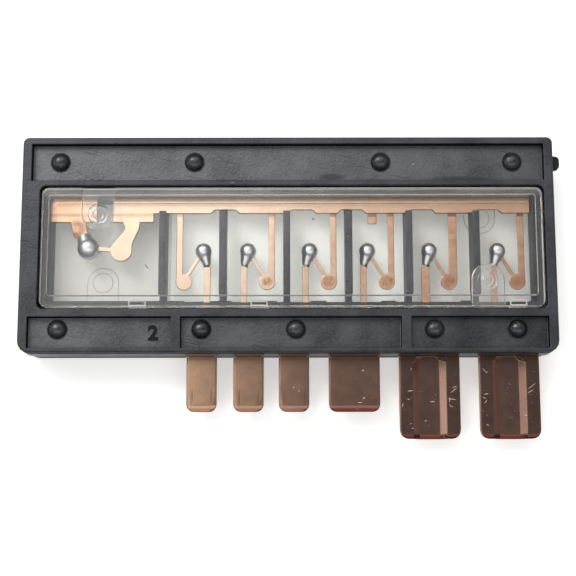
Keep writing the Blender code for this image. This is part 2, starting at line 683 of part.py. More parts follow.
def cell_copper(cell, low, high):
    """One cell's strip, pad, thin link, lower strip and blade."""
    half = cell.strip / 2
    pellet, strip_top = (cell.pellet_x, PELLET_Y), (cell.lower_x, PELLET_Y - PELLET_TAIL)
    return [
        box("strip", cell.strip_x - half, cell.strip_x + half, PAD_Y, BUS_BOTTOM + LAP, low, high),
        disc("pad", cell.pad_x, PAD_Y, PAD_RADIUS, low, high),
        bar("thin_link", (cell.pad_x, PAD_Y), pellet, THIN_LINK, low, high),
        disc("seat", *pellet, THIN_LINK / 2, low, high),
        bar("tail", pellet, strip_top, THIN_LINK, low, high),
        box("lower_strip", cell.lower_x - half, cell.lower_x + half, SHANK_TOP - LAP, strip_top[1], low, high),
        blade(cell),
    ]


def element_plate():
    """The whole stamped element, one piece of copper sheet."""
    low, high = COPPER_BACK, COPPER_FRONT
    pieces = feed_end(low, high) + bus(low, high)
    for cell in CELLS:
        pieces += cell_copper(cell, low, LINK_FRONT)
    plate = pieces.pop(0)
    plate.name = "element_plate"
    combine(plate, pieces, "UNION")
    holes = [
        disc("hole", cell.stake_x, BOTTOM_STAKE_Y, STAKE_RADIUS + CLEARANCE, low - LONG, high + LONG)
        for cell in CELLS
        if cell.stake_x is not None
    ]
    return combine(plate, holes + bus_notches(low, high), "DIFFERENCE")


def drop(name, middle, tail, radius, end_radius, level):
    """A drop of tin: a ball drawn out into a tail, both with their middle at this level."""
    mesh_data = bmesh.new()
    bmesh.ops.create_uvsphere(mesh_data, u_segments=16, v_segments=10, radius=radius)
    bmesh.ops.translate(mesh_data, verts=mesh_data.verts, vec=(*middle, level))
    ball = to_object(name, mesh_data)
    along = Vector((*tail, level)) - Vector((*middle, level))
    mesh_data = bmesh.new()
    bmesh.ops.create_cone(
        mesh_data,
        cap_ends=True,
        segments=16,
        radius1=radius - TIN_SHOULDER,
        radius2=end_radius,
        depth=along.length,
        matrix=Matrix.Translation(Vector((*middle, level)) + along / 2)
        @ along.to_track_quat("Z", "Y").to_matrix().to_4x4(),
    )
    return combine(ball, [to_object("cone", mesh_data)], "UNION")


def main_pellet():
    """The large drop on the main link, open towards the neck that it sits on."""
    low, high = COPPER_BACK - CLEARANCE, COPPER_FRONT + CLEARANCE
    up_neck = (NECK_BEND_POINT - MAIN_PELLET).normalized()
    tail_end = MAIN_PELLET + up_neck * MAIN_TAIL
    level = (COPPER_BACK + COPPER_FRONT) / 2
    tin = drop("main_pellet", MAIN_PELLET, tail_end, MAIN_PELLET_RADIUS, MAIN_TAIL_RADIUS, level)
    neck_start, neck_end = MAIN_PELLET - up_neck * NECK_END, tail_end + up_neck * MAIN_TAIL
    channels = [
        bar("channel", MAIN_PELLET, LOBE, MAIN_LINK + 2 * CLEARANCE, low, high),
        bar("channel", neck_start, neck_end, 2 * (MAIN_PELLET_RADIUS + CLEARANCE), low, high),
    ]
    return combine(tin, channels, "DIFFERENCE")


def tin_pellet(cell):
    """A small drop on a cell's thin link, with its tail on the front of the lower strip."""
    low, high = COPPER_BACK - CLEARANCE, LINK_FRONT + CLEARANCE
    pellet, strip_top = Vector((cell.pellet_x, PELLET_Y)), Vector((cell.lower_x, PELLET_Y - PELLET_TAIL))
    down = (strip_top - pellet).normalized()
    level = (COPPER_BACK + LINK_FRONT) / 2
    name = f"tin_pellet_{cell.name}"
    tin = drop(name, pellet, pellet + down * TIN_TAIL, PELLET_RADIUS, TIN_TAIL_RADIUS, level)
    width = THIN_LINK + 2 * CLEARANCE
    behind = low - PELLET_RADIUS
    channels = [
        bar("channel", (cell.pad_x, PAD_Y), pellet, width, low, high),
        bar("channel", pellet, strip_top, width, low, high),
        bar("channel", pellet + down * TIN_FLAT, strip_top, 2 * PELLET_RADIUS, behind, high),
        disc("channel", *pellet, width / 2, low, high),
    ]
    return combine(tin, channels, "DIFFERENCE")


def main():
    """Builds the block and places it."""
    clear_scene()
    black = finish("black_plastic", (0.022, 0.023, 0.025), 0.45)
    clear = finish("clear_plastic", (0.93, 0.93, 0.91), 0.06, transmission=0.9)
    copper = finish("copper", (0.72, 0.38, 0.25), 0.30, metallic=1.0)
    tin = finish("tin", (0.60, 0.60, 0.61), 0.20, metallic=1.0)
    dressed = [(front_shell(), black), (rear_shell(), black), (front_cover(), clear), (rear_cover(), clear)]
    dressed += [(element_plate(), copper), (main_pellet(), tin)]
    dressed += [(tin_pellet(cell), tin) for cell in CELLS]
    block = bpy.data.objects.new("fuse_block", None)
    bpy.context.scene.collection.objects.link(block)
    block.location = (-NUB_REACH / 2, LARGE_BLADE_LENGTH / 2, 0.0)
    for obj, material in dressed:
        obj.parent = block
        obj.data.materials.clear()
        obj.data.materials.append(material)
        obj.data.shade_smooth()
        obj.data.set_sharp_from_angle(angle=math.radians(30))


main()
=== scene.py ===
import math

import bmesh
import bpy
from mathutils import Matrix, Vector


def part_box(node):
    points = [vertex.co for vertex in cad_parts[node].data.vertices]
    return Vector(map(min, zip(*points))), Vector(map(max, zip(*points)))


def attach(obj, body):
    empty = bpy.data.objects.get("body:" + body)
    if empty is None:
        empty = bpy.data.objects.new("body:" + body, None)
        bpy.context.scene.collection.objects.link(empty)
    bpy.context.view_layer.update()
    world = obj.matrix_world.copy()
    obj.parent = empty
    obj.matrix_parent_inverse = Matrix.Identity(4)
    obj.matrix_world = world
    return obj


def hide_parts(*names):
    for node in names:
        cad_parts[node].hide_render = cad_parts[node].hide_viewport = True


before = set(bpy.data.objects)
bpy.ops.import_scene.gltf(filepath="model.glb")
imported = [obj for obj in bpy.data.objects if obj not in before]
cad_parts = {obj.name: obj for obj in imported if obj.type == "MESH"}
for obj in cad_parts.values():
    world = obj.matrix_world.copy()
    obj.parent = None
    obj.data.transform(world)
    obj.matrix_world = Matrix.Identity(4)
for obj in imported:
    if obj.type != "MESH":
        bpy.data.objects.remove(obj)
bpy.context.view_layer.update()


# Camera: a plain pinhole view from above, a little towards the blades. The lens and the place
# come from matching the body's corners, the stakes, the cell walls and the blades.
PICTURE_PIXELS = 576
FOCAL_PIXELS = 1349.46
SENSOR_MM = 36.0
CAMERA_PLACE = (-0.000735, -0.03777, 0.21357)
CAMERA_TILT = math.radians(10.283)
CAMERA_YAW = math.radians(-0.047)
CAMERA_ROLL = math.radians(-0.093)
CAMERA_NEAR = 0.01

camera_lens = bpy.data.cameras.new("camera")
camera_lens.sensor_width = SENSOR_MM
camera_lens.lens = FOCAL_PIXELS * SENSOR_MM / PICTURE_PIXELS
camera_lens.clip_start = CAMERA_NEAR
camera = bpy.data.objects.new("camera", camera_lens)
camera.rotation_mode = "ZYX"
camera.rotation_euler = (CAMERA_TILT, CAMERA_YAW, CAMERA_ROLL)
camera.location = CAMERA_PLACE
bpy.context.scene.collection.objects.link(camera)
bpy.context.scene.camera = camera
bpy.context.scene.view_settings.view_transform = "Standard"


# Rear cover: a shallow tray of clear polycarbonate, injection moulded and snapped into the back
# of the housing. It is smooth and glassy, with rounded rims that catch the light.
CLEAR_TINT = "#F7F7F6"
CLEAR_FROST = "#E2E1DE"
CLEAR_IOR = 1.585
CLEAR_ROUGHNESS = {"To Min": 0.02, "To Max": 0.22}  # on its faces, and on scratches and edges
GREYED_TINT = "#D3D2D0"
GREYED_FROST = "#BBBAB7"
GREYED_LEFT_OF = -0.0193  # the rear one is greyer behind the main link
GREYED_RIGHT_OF = 0.0185  # and, less, behind the last two cells
GREYED_RIGHT_SHARE = 0.65
REAR_TOP = 0.003  # the rear cover lies below this height
COVER_FACE = 0.0088  # height of the front cover's face
FACE_SLACK = 0.0001
TAB_RAISED = 0.00013
EDGE_LEVEL = {"From Min": 0.97, "From Max": 0.75}  # how level a face is, and how level an edge
EDGE_FROST = 0.22  # these are shares of white haze
TAB_FROST = 0.5
GATE_HAZE = 0.12
REAR_HAZE = 0.22
FRONT_HAZE = {"From Min": 0.0138, "From Max": 0.0150, "To Min": 0.015, "To Max": 0.13}  # along Y
HAZE_CLOUD = 0.004
HAZE_PATCHES = {"From Min": 0.35, "From Max": 0.65, "To Min": 0.5, "To Max": 1.3}
GATE_BAND = (0.0081, 0.0086)  # the gate marks' floors lie between these heights
COVER_SCRATCHES = ((0.00006, 24, 60, 0.70, 0.76), (0.00006, -63, 50, 0.71, 0.77))
COVER_NICKS = (
    (-22.44, 2.80, -52, 1.1, 0.20),
    (3.35, 10.29, 10, 0.45, 0.30),
    (4.60, 9.20, 0, 0.22, 0.20),
    (-8.90, 10.60, 0, 0.22, 0.20),
    (37.95, 8.40, 60, 1.9, 0.10),
    (37.60, 7.30, -35, 1.4, 0.09),
)
NICK_DIRT = "#4A4845"
NICK_SHARE = 0.75
MARK_FADE = {"From Min": 1.0, "From Max": 0.5}  # a mark is full up to half of its reach
COVER_ROUND = 0.00010
ROUNDED_FROM = math.radians(38)  # edges that turn by more than this are rounded
SHARP_FROM = math.radians(50)
FLAT_WITHIN = math.radians(0.5)
MERGE = 1e-6


def linear(code):
    """A colour from its sRGB hex code, as the linear values that shaders take."""
    parts = [int(code[start:start + 2], 16) / 255 for start in (1, 3, 5)]
    parts = [part / 12.92 if part <= 0.04045 else ((part + 0.055) / 1.055) ** 2.4 for part in parts]
    return (*parts, 1.0)


def add(tree, kind, inputs=None, **settings):
    """Adds a shader node with its settings. An input takes a value, another node or its output."""
    made = tree.nodes.new("ShaderNode" + kind)
    for name, value in settings.items():
        setattr(made, name, value)
    for name, value in (inputs or {}).items():
        if isinstance(value, bpy.types.Node):
            value = value.outputs[0]
        if isinstance(value, bpy.types.NodeSocket):
            tree.links.new(value, made.inputs[name])
        else:
            made.inputs[name].default_value = value
    return made


def new_material(name):
    """An empty material and its node tree."""
    material = bpy.data.materials.new(name)
    material.use_nodes = True
    material.node_tree.nodes.clear()
    return material, material.node_tree


def layered(tree, base, *layers):
    """A colour with others laid over it in turn, each as strong as its mask. Every layer is
    (mask, colour), and a colour is a hex code or a node's output."""
    colour = linear(base) if isinstance(base, str) else base
    for mask, over in layers:
        over = linear(over) if isinstance(over, str) else over
        colour = add(tree, "Mix", {0: mask, 6: colour, 7: over}, data_type="RGBA").outputs[2]
    return colour


def strongest(tree, mask, *others):
    """One mask that is, at each place, as strong as the strongest of several."""
    for other in others:
        mask = add(tree, "Math", {0: mask, 1: other}, operation="MAXIMUM")
    return mask


def streaks(tree, place, kinds):
    """One mask for thin straight scratches: noise drawn out along one direction, with only its
    peaks kept. Each kind is (width, turn in degrees, stretch, where peaks start, full peak)."""
    masks = []
    for width, turn, stretch, start, full in kinds:
        flat = add(tree, "VectorMath", {0: place, 1: (1, 1, 0)}, operation="MULTIPLY")
        turned = add(tree, "Mapping", {"Vector": flat, "Rotation": (0, 0, math.radians(turn))})
        drawn = add(tree, "Mapping", {"Vector": turned, "Scale": (1 / stretch, 1, 1)})
        noise = add(tree, "TexNoise", {"Vector": drawn, "Scale": 1 / width, "Detail": 1.0})
        masks.append(add(tree, "MapRange", {"Value": noise, "From Min": start, "From Max": full}))
    return strongest(tree, *masks)


def marks_at(tree, place, spots):
    """One mask for small marks, each (x, y, turn, length, width) in mm and degrees. A mark is
    strong in its middle, and nothing is left of it beyond its length and width."""
    masks = []
    for x, y, turn, length, width in spots:
        moved = add(
            tree,
            "Mapping",
            {
                "Vector": place,
                "Location": (x / 1000, y / 1000, 0),
                "Rotation": (0, 0, math.radians(turn)),
                "Scale": (length / 1000 / 2, width / 1000 / 2, 1),
            },
            vector_type="TEXTURE",
        )
        reach = add(tree, "VectorMath", {0: moved}, operation="LENGTH").outputs["Value"]
        masks.append(add(tree, "MapRange", {"Value": reach, **MARK_FADE}))
    return strongest(tree, *masks)


def activate(piece):
    """Selects one piece alone, for the operators that act on the active object."""
    bpy.ops.object.select_all(action="DESELECT")
    piece.select_set(True)
    bpy.context.view_layer.objects.active = piece


def merged_copy(node_name, name):
    """A copy of a solid whose loose triangles are merged into one mesh with plain faces."""
    piece = bpy.data.objects.new(name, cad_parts[node_name].data.copy())
    bpy.context.scene.collection.objects.link(piece)
    piece.data.materials.clear()
    activate(piece)
    bpy.ops.mesh.customdata_custom_splitnormals_clear()
    bpy.ops.object.mode_set(mode="EDIT")
    bpy.ops.mesh.select_all(action="SELECT")
    bpy.ops.mesh.remove_doubles(threshold=MERGE)
    bpy.ops.mesh.dissolve_limited(angle_limit=FLAT_WITHIN)
    bpy.ops.object.mode_set(mode="OBJECT")
    return piece


def round_edges(piece, width):
    """Gives a piece small rounded edges, and shades it smooth between its sharp ones."""
    activate(piece)
    bevel = piece.modifiers.new("rounded edges", "BEVEL")
    bevel.width = width
    bevel.segments = 2
    bevel.limit_method = "ANGLE"
    bevel.angle_limit = ROUNDED_FROM
    bevel.use_clamp_overlap = False
    bpy.ops.object.modifier_apply(modifier=bevel.name)
    bpy.ops.object.shade_smooth_by_angle(angle=SHARP_FROM)
    weighted = piece.modifiers.new("even shading", "WEIGHTED_NORMAL")
    weighted.keep_sharp = True
    bpy.ops.object.modifier_apply(modifier=weighted.name)


def seat(piece, material, node):
    """Gives a finished piece its material, hangs it on the root body and hides the solid it stands
    for.
    """
    piece.data.materials.clear()
    piece.data.materials.append(material)
    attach(piece, "root")
    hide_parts(node)


def clear_polycarbonate():
    """Clear moulded sheet: glassy on its faces and frosted on its edges, with hairline scratches
    and, on the front, a dark nick and specks from handling."""
    material, tree = new_material("moulded_clear_polycarbonate")
    coordinates = add(tree, "TexCoord")
    place = coordinates.outputs["Object"]
    across, along, height = add(tree, "SeparateXYZ", {0: place}).outputs
    facing = add(tree, "SeparateXYZ", {0: coordinates.outputs["Normal"]}).outputs["Z"]
    level = add(tree, "Math", {0: facing}, operation="ABSOLUTE")
    edge = add(tree, "MapRange", {"Value": level, **EDGE_LEVEL})
    rubbed = strongest(tree, streaks(tree, place, COVER_SCRATCHES), edge)
    roughness = add(tree, "MapRange", {"Value": rubbed, **CLEAR_ROUGHNESS})

    # The rear cover's tint and frost are greyer behind the main link and, less, behind the last
    # two cells.
    behind = add(tree, "Math", {0: height, 1: REAR_TOP}, operation="LESS_THAN")
    leftmost = add(tree, "Math", {0: across, 1: GREYED_LEFT_OF}, operation="LESS_THAN")
    rightmost = add(tree, "Math", {0: across, 1: GREYED_RIGHT_OF}, operation="GREATER_THAN")
    either = add(
        tree, "Math", {0: rightmost, 1: GREYED_RIGHT_SHARE, 2: leftmost}, operation="MULTIPLY_ADD"
    )
    greyed = add(tree, "Math", {0: behind, 1: either}, operation="MULTIPLY")
    glass = add(
        tree,
        "BsdfPrincipled",
        {
            "Base Color": layered(tree, CLEAR_TINT, (greyed, GREYED_TINT)),
            "Roughness": roughness,
            "IOR": CLEAR_IOR,
            "Transmission Weight": 1.0,
        },
    )
    frost = add(tree, "BsdfDiffuse", {"Color": layered(tree, CLEAR_FROST, (greyed, GREYED_FROST))})

    # White haze: each part has its share, and on the front face it lies in thin patches.
    clouded = add(tree, "TexNoise", {"Vector": place, "Scale": 1 / HAZE_CLOUD, "Detail": 3.0})
    patches = add(tree, "MapRange", {"Value": clouded, **HAZE_PATCHES})
    rising = add(tree, "MapRange", {"Value": along, **FRONT_HAZE})
    patchy = add(tree, "Math", {0: rising, 1: patches}, operation="MULTIPLY")
    front = add(tree, "Math", {0: height, 1: COVER_FACE - FACE_SLACK}, operation="GREATER_THAN")
    tab = add(tree, "Math", {0: height, 1: COVER_FACE + TAB_RAISED / 3}, operation="GREATER_THAN")
    over_floor = add(tree, "Math", {0: height, 1: GATE_BAND[0]}, operation="GREATER_THAN")
    under_face = add(tree, "Math", {0: height, 1: GATE_BAND[1]}, operation="LESS_THAN")
    in_gate = add(tree, "Math", {0: over_floor, 1: under_face}, operation="MULTIPLY")
    gate = add(tree, "Math", {0: in_gate, 1: level}, operation="MULTIPLY")
    hazes = [
        add(tree, "Math", {0: part, 1: share}, operation="MULTIPLY")
        for part, share in (
            (edge, EDGE_FROST),
            (front, patchy),
            (tab, TAB_FROST),
            (gate, GATE_HAZE),
            (behind, REAR_HAZE),
        )
    ]
    frosted = add(tree, "MixShader", {0: strongest(tree, *hazes), 1: glass, 2: frost})

    nicks = marks_at(tree, place, COVER_NICKS)
    on_front = add(tree, "Math", {0: nicks, 1: front}, operation="MULTIPLY")
    dirty = add(tree, "Math", {0: on_front, 1: NICK_SHARE}, operation="MULTIPLY")
    dirt = add(tree, "BsdfDiffuse", {"Color": linear(NICK_DIRT)})
    worn = add(tree, "MixShader", {0: dirty, 1: frosted, 2: dirt})
    passing = add(tree, "BsdfTransparent", {"Color": linear(CLEAR_TINT)})
    shadow = add(tree, "LightPath").outputs["Is Shadow Ray"]
    mixed = add(tree, "MixShader", {0: shadow, 1: worn, 2: passing})
    add(tree, "OutputMaterial", {"Surface": mixed})
    return material


polycarbonate = clear_polycarbonate()
rear_cover = merged_copy("rear_cover", "rear_cover_tray")
round_edges(rear_cover, COVER_ROUND)
seat(rear_cover, polycarbonate, "rear_cover")


# Rear shell: one moulding of black glass-filled polyester, with the cell walls, the pocket for
# the copper and nine stakes. Moulded satin, with a fine grain; the melted stake heads are glossy.
PLASTIC_DARK = "#17181B"
PLASTIC_LIGHT = "#303236"
PLASTIC_SHEEN = "#F8F9FD"
# the recess floors' two colours make a painted sheen, paler than the plastic itself
PLASTIC_RECESS = "#595B5E"
PLASTIC_RECESS_DARK = "#414346"
PLASTIC_WALL_SHADE = "#0E0F10"
PLASTIC_WORN = "#4A4C50"
PLASTIC_PRESSED = "#0C0D0E"
PLASTIC_SPECK = "#85888C"
PLASTIC_IOR = 1.50
PLASTIC_CLOUD = 0.005
PLASTIC_GRAIN = 0.00040  # real grain is finer; drawn as coarse as it needs to show
GRAIN_SHARE = 0.3  # of the grain in the mottled tone; the rest is cloud
GRAIN_DEPTH = 0.00005
TONE_RANGE = {"From Min": 0.38, "From Max": 0.62}
SHEEN_RANGE = {"From Min": 0.2, "From Max": 0.6, "To Min": 0.08, "To Max": 0.5}  # walls to faces
GLOSS_RANGE = {"From Min": 0.35, "From Max": 0.65, "To Min": -0.05, "To Max": 0.05}
PLASTIC_RUBS = ((0.00012, 12, 45, 0.70, 0.80), (0.00009, -38, 16, 0.74, 0.80))
RUB_SHARE = 0.7
WALL_SHARE = 0.8
PRESSED_SHARE = 0.75
PRESSED_ROUGHER = 0.30
RECESS_SLANT = (1, -1.5, 0)  # the recesses' painted sheen fades towards the near right, as painted light falloff
RECESS_FADE = {"From Min": -0.035, "From Max": 0.035, "To Min": 1.0, "To Max": 0.1}
FACE_ROUGHNESS = 0.42
RECESS_ROUGHNESS = 0.30
HEAD_ROUGHNESS = 0.20
RECESS_FLOOR = 0.0072  # heights above the table
BODY_FRONT = 0.0090
RIM_DEPTH = 0.0005  # the front shell's walls are painted darker, as painted shade, from this far below its front
HEAD_FOOT = 0.0075
HEAD_RADIUS = 0.00155
HEAD_RISE = 0.0003  # the melted heads have drawn up by this, and shrunk to this share
HEAD_SHARE = 0.9
SHELL_ROUND = 0.00014
LIP_RADIUS = 0.00160
LIP_GROOVE = 0.00012
LIP_HEIGHT = 0.0002
LIP_SIDES = 40
FACES_UP = 0.99  # the least upward part of a level face's direction
STAKES = (
    (-0.03635, 0.019725),
    (-0.01525, 0.019725),
    (0.01405, 0.019725),
    (0.03475, 0.019725),
    (-0.03615, -0.006875),
    (-0.01395, -0.006875),
    (0.00065, -0.006875),
    (0.02205, -0.006875),
    (0.03489, -0.006875),
)


def box_mask(tree, place, low, high):
    """One inside a box on the table plane, and nothing outside it."""
    middle = [(first + last) / 2 for first, last in zip(low, high)]
    half = [(last - first) / 2 for first, last in zip(low, high)]
    moved = add(
        tree,
        "Mapping",
        {"Vector": place, "Location": (*middle, 0), "Scale": (*half, 1)},
        vector_type="TEXTURE",
    )
    apart = add(tree, "VectorMath", {0: moved}, operation="ABSOLUTE")
    across, along, _ = add(tree, "SeparateXYZ", {0: apart}).outputs
    farther = strongest(tree, across, along)
    return add(tree, "Math", {0: farther, 1: 1.0}, operation="LESS_THAN")


def moulded_plastic(name, faces, dark_spots=(), light_spots=(), recesses=()):
    """Black moulded plastic: two close greys, uneven gloss, fine grain, rub marks and nicks.
    Each entry of faces is a height above the table and the roughness from there up. Recesses
    are boxes whose glossier floors are painted paler, as a painted sheen that fades towards the
    near right, and whose walls are painted darker as painted shade, as are the walls below the
    front."""
    material, tree = new_material(name)
    coordinates = add(tree, "TexCoord")
    place = coordinates.outputs["Object"]
    height = add(tree, "SeparateXYZ", {0: place}).outputs["Z"]
    facing = add(tree, "SeparateXYZ", {0: coordinates.outputs["Normal"]}).outputs["Z"]
    level = add(tree, "Math", {0: facing}, operation="ABSOLUTE")
    sheen = add(tree, "MapRange", {"Value": level, **SHEEN_RANGE})
    cloud = add(tree, "TexNoise", {"Vector": place, "Scale": 1 / PLASTIC_CLOUD, "Detail": 5.0})
    grain = add(tree, "TexNoise", {"Vector": place, "Scale": 1 / PLASTIC_GRAIN, "Detail": 2.0})
    mottled = add(tree, "Mix", {0: GRAIN_SHARE, 2: cloud, 3: grain}, data_type="FLOAT")
    tone = add(tree, "MapRange", {"Value": mottled, **TONE_RANGE})
    marks = streaks(tree, place, PLASTIC_RUBS)
    worn = add(tree, "Math", {0: marks, 1: RUB_SHARE}, operation="MULTIPLY")
    body = layered(tree, PLASTIC_DARK, (tone, PLASTIC_LIGHT))
    colour = layered(tree, body, (worn, PLASTIC_WORN))

    if recesses:
        # Painted shade: the walls below the front, and the recess walls above their floors, are
        # dark.
        below_rim = add(tree, "Math", {0: height, 1: BODY_FRONT - RIM_DEPTH}, operation="LESS_THAN")
        walls = add(tree, "Math", {0: below_rim, 1: WALL_SHARE}, operation="MULTIPLY")
        # Painted light: the recess floors get a paler painted sheen, fading towards the near right.
        slant = add(tree, "VectorMath", {0: place, 1: RECESS_SLANT}, operation="DOT_PRODUCT")
        paler = add(tree, "MapRange", {"Value": slant.outputs["Value"], **RECESS_FADE})
        skin = layered(tree, PLASTIC_RECESS_DARK, (tone, PLASTIC_RECESS))
        off_floor = add(tree, "Math", {0: height, 1: faces[1][0]}, operation="GREATER_THAN")
        sunk = layered(tree, body, (paler, skin), (off_floor, PLASTIC_WALL_SHADE))
        below = add(tree, "Math", {0: height, 1: BODY_FRONT - SHELL_ROUND}, operation="LESS_THAN")
        colour = layered(tree, colour, (walls, PLASTIC_WALL_SHADE))
        for low, high in recesses:
            inside = box_mask(tree, place, low, high)
            share = add(tree, "Math", {0: inside, 1: below}, operation="MULTIPLY")
            colour = layered(tree, colour, (share, sunk))

    rough = faces[0][1]
    for above, roughness in faces[1:]:
        over = add(tree, "Math", {0: height, 1: above}, operation="GREATER_THAN")
        rough = add(tree, "Mix", {0: over, 2: rough, 3: roughness}, data_type="FLOAT")
    uneven = add(tree, "MapRange", {"Value": mottled, **GLOSS_RANGE})
    rough = add(tree, "Math", {0: rough, 1: uneven}, operation="ADD")
    if dark_spots:
        spots = marks_at(tree, place, dark_spots)
        pressed = add(tree, "Math", {0: spots, 1: PRESSED_SHARE}, operation="MULTIPLY")
        colour = layered(tree, colour, (pressed, PLASTIC_PRESSED))
        rough = add(
            tree, "Math", {0: pressed, 1: PRESSED_ROUGHER, 2: rough}, operation="MULTIPLY_ADD"
        )
    if light_spots:
        colour = layered(tree, colour, (marks_at(tree, place, light_spots), PLASTIC_SPECK))

    relief = add(tree, "Math", {0: grain, 1: marks}, operation="SUBTRACT")
    bump = add(tree, "Bump", {"Height": relief, "Strength": 1.0, "Distance": GRAIN_DEPTH})
    shader = add(
        tree,
        "BsdfPrincipled",
        {
            "Base Color": colour,
            "Roughness": rough,
            "IOR": PLASTIC_IOR,
            "Specular IOR Level": sheen,
            "Specular Tint": linear(PLASTIC_SHEEN),
            "Normal": bump,
        },
    )
    add(tree, "OutputMaterial", {"Surface": shader})
    return material


def edit_faces(piece, wanted):
    """Opens a piece for editing, with only the wanted faces selected."""
    activate(piece)
    bpy.ops.object.mode_set(mode="EDIT")
    bpy.ops.mesh.select_all(action="DESELECT")
    shape = bmesh.from_edit_mesh(piece.data)
    for face in shape.faces:
        face.select_set(wanted(face))
    bmesh.update_edit_mesh(piece.data)


def join(piece, others):
    """Makes other pieces part of one."""
    activate(piece)
    for other in others:
        other.select_set(True)
    bpy.ops.object.join()


rear_polyester = moulded_plastic(
    "moulded_black_polyester_rear", ((0, FACE_ROUGHNESS), (HEAD_FOOT, HEAD_ROUGHNESS))
)
rear_shell = merged_copy("rear_shell", "rear_shell_moulding")
for point in rear_shell.data.vertices:
    x, y = min(STAKES, key=lambda stake: math.dist(stake, point.co.xy))
    near_stake = math.dist((x, y), point.co.xy) < HEAD_RADIUS + MERGE
    if near_stake and point.co.z > HEAD_FOOT - MERGE:
        point.co.x = x + (point.co.x - x) * HEAD_SHARE
        point.co.y = y + (point.co.y - y) * HEAD_SHARE
        point.co.z += HEAD_RISE
round_edges(rear_shell, SHELL_ROUND)

# Each stake's head has a thin lip of plastic round its foot, with a groove between the two.
lips = []
for x, y in STAKES:
    bpy.ops.mesh.primitive_cylinder_add(
        vertices=LIP_SIDES,
        radius=LIP_RADIUS,
        depth=LIP_HEIGHT,
        location=(x, y, HEAD_FOOT + HEAD_RISE - LIP_HEIGHT / 2),
    )
    lip = bpy.context.object
    bpy.ops.object.transform_apply(location=True, rotation=True, scale=True)
    edit_faces(lip, lambda face: face.normal.z > FACES_UP)
    bpy.ops.mesh.inset(thickness=LIP_GROOVE, depth=0)
    bpy.ops.mesh.inset(thickness=LIP_GROOVE, depth=-LIP_GROOVE)
    bpy.ops.object.mode_set(mode="OBJECT")
    round_edges(lip, LIP_GROOVE / 3)
    lips.append(lip)
join(rear_shell, lips)
seat(rear_shell, rear_polyester, "rear_shell")


# Element: one sheet of rolled copper alloy, 0.8 mm thick, stamped and coined. It is bright
# behind the covers, heat-tinted by the main link, and browner on the blades, where it is worn.
COPPER_BRIGHT = "#F6DCC3"
COPPER_ORANGE = "#EEC4A0"
COPPER_WARM = "#E3AC84"
COPPER_FALLOFF_SHADE = "#DFA67C"
COPPER_STAIN_AND_SHADE = "#C68860"
COPPER_TINT = "#8A5E40"
COPPER_BROWN = "#BC987E"
COPPER_DARK = "#7F655A"
# the colour of the fine flecks, and of painted shade on cut edges and lead-in lines
COPPER_FLECK_AND_SHADE = "#7C5140"
COPPER_WIDE_DARK = "#5E4B45"
COPPER_RED = "#552C25"
# painted light on the grooves' slopes, by the way each faces
COPPER_RIGHT_SLOPE_LIGHT = "#B7917F"
COPPER_LEFT_SLOPE_LIGHT = "#B08A7A"
COPPER_SWIRL = "#BE8256"
COPPER_SCRATCH = "#F0D6C6"
COPPER_ROUGHNESS = {"From Min": 0.35, "From Max": 0.65, "To Min": 0.20, "To Max": 0.26}
COPPER_ROUND = 0.00008
CLOUD_SIZE = 0.0016  # sizes of the patterns on it
GRAIN_SIZE = 0.00016
SWIRL_SIZE = 0.0007
BROAD_SIZE = 0.006
GRAIN_STRENGTH = 0.10
GRAIN_RELIEF = 0.00001

# Behind the cover: edges and bands along Y, then how tones come in along X or with a pattern.
SCORE_LINE = 0.01378
SCORE_WIDTH = 0.00016
BAND_SOFT = 0.0002  # a band's edge fades over this
BAND_SHARE = 0.5
COIN_TOP = 0.0122  # painted shade: the strips are darker in this band below the bus, under its coined step
COIN_BOTTOM = 0.0115
COIN_SOFT = 0.0001
COIN_FOOT_SOFT = 0.0003
COIN_SHADE_RANGE = {"To Min": 0.35, "To Max": 1.0}
BLOTCH_RANGE = {"From Min": 0.40, "From Max": 0.62}
STAIN_SHADE_RANGE = {"From Min": -0.020, "From Max": 0.030}
STAIN_SHADE_SHARE = 0.8
SWIRL_RANGE = {"From Min": 0.40, "From Max": 0.60, "To Min": 0.35, "To Max": 1.0}
HEAT_RANGE = {"From Min": 0.30, "From Max": 0.55}
HEAT_MARK = (-34.0, 9.4, 60, 5.2, 3.6)  # left by soldering on the main link's neck
BROAD_RANGE = {"From Min": 0.42, "From Max": 0.62, "To Max": 0.4}
FEED_RANGE = {"From Min": -0.0285, "From Max": -0.0350, "To Max": 0.7}
COVERED_FALLOFF_RANGE = {"From Min": -0.008, "From Max": 0.028, "To Max": 0.75}
PAD_STAINS = (
    (-3.80, 1.22, 20, 2.16, 1.76),
    (5.80, 1.20, 20, 2.70, 2.20),
    (15.07, 1.19, 20, 2.70, 2.20),
    (24.83, 1.17, 20, 2.84, 2.31),
    (35.55, 1.15, 20, 2.43, 1.98),
)

# On the blades: likewise, with slopes told by the direction that a face looks in.
COVERED_EDGE = -0.0030  # the body hides the copper between these two
OPEN_EDGE = -0.0106
OPEN_SOFT = 0.0001
BLADE_FALLOFF_RANGE = {"From Min": -0.016, "From Max": 0.008}
FLECK_RANGE = {"From Min": 0.45, "From Max": 0.70}
FLECK_SHARE = 0.22
GROOVE_FLOOR = 0.0036
SHEET_FRONT = 0.0044
GROOVE_END = -0.0125  # the grooves' upper ends lie above this, and are this much steeper
GROOVE_STEEPER = 0.0006
TILTED_RANGE = {"From Min": 0.95, "From Max": 0.85}
LOOKS_RIGHT = {"From Min": 0.2, "From Max": 0.4}
LOOKS_LEFT = {"From Min": -0.2, "From Max": -0.4}
CUT_RANGE = {"From Min": 0.60, "From Max": 0.35}
WIDE_FROM = 0.016  # the wide blades lie to the right of this
WIDE_DARKER = {"To Min": 0.5, "To Max": 0.8}  # in the grooves, and beside them
NARROW_TIP = -0.01932  # where the narrow blades and the wide blades end
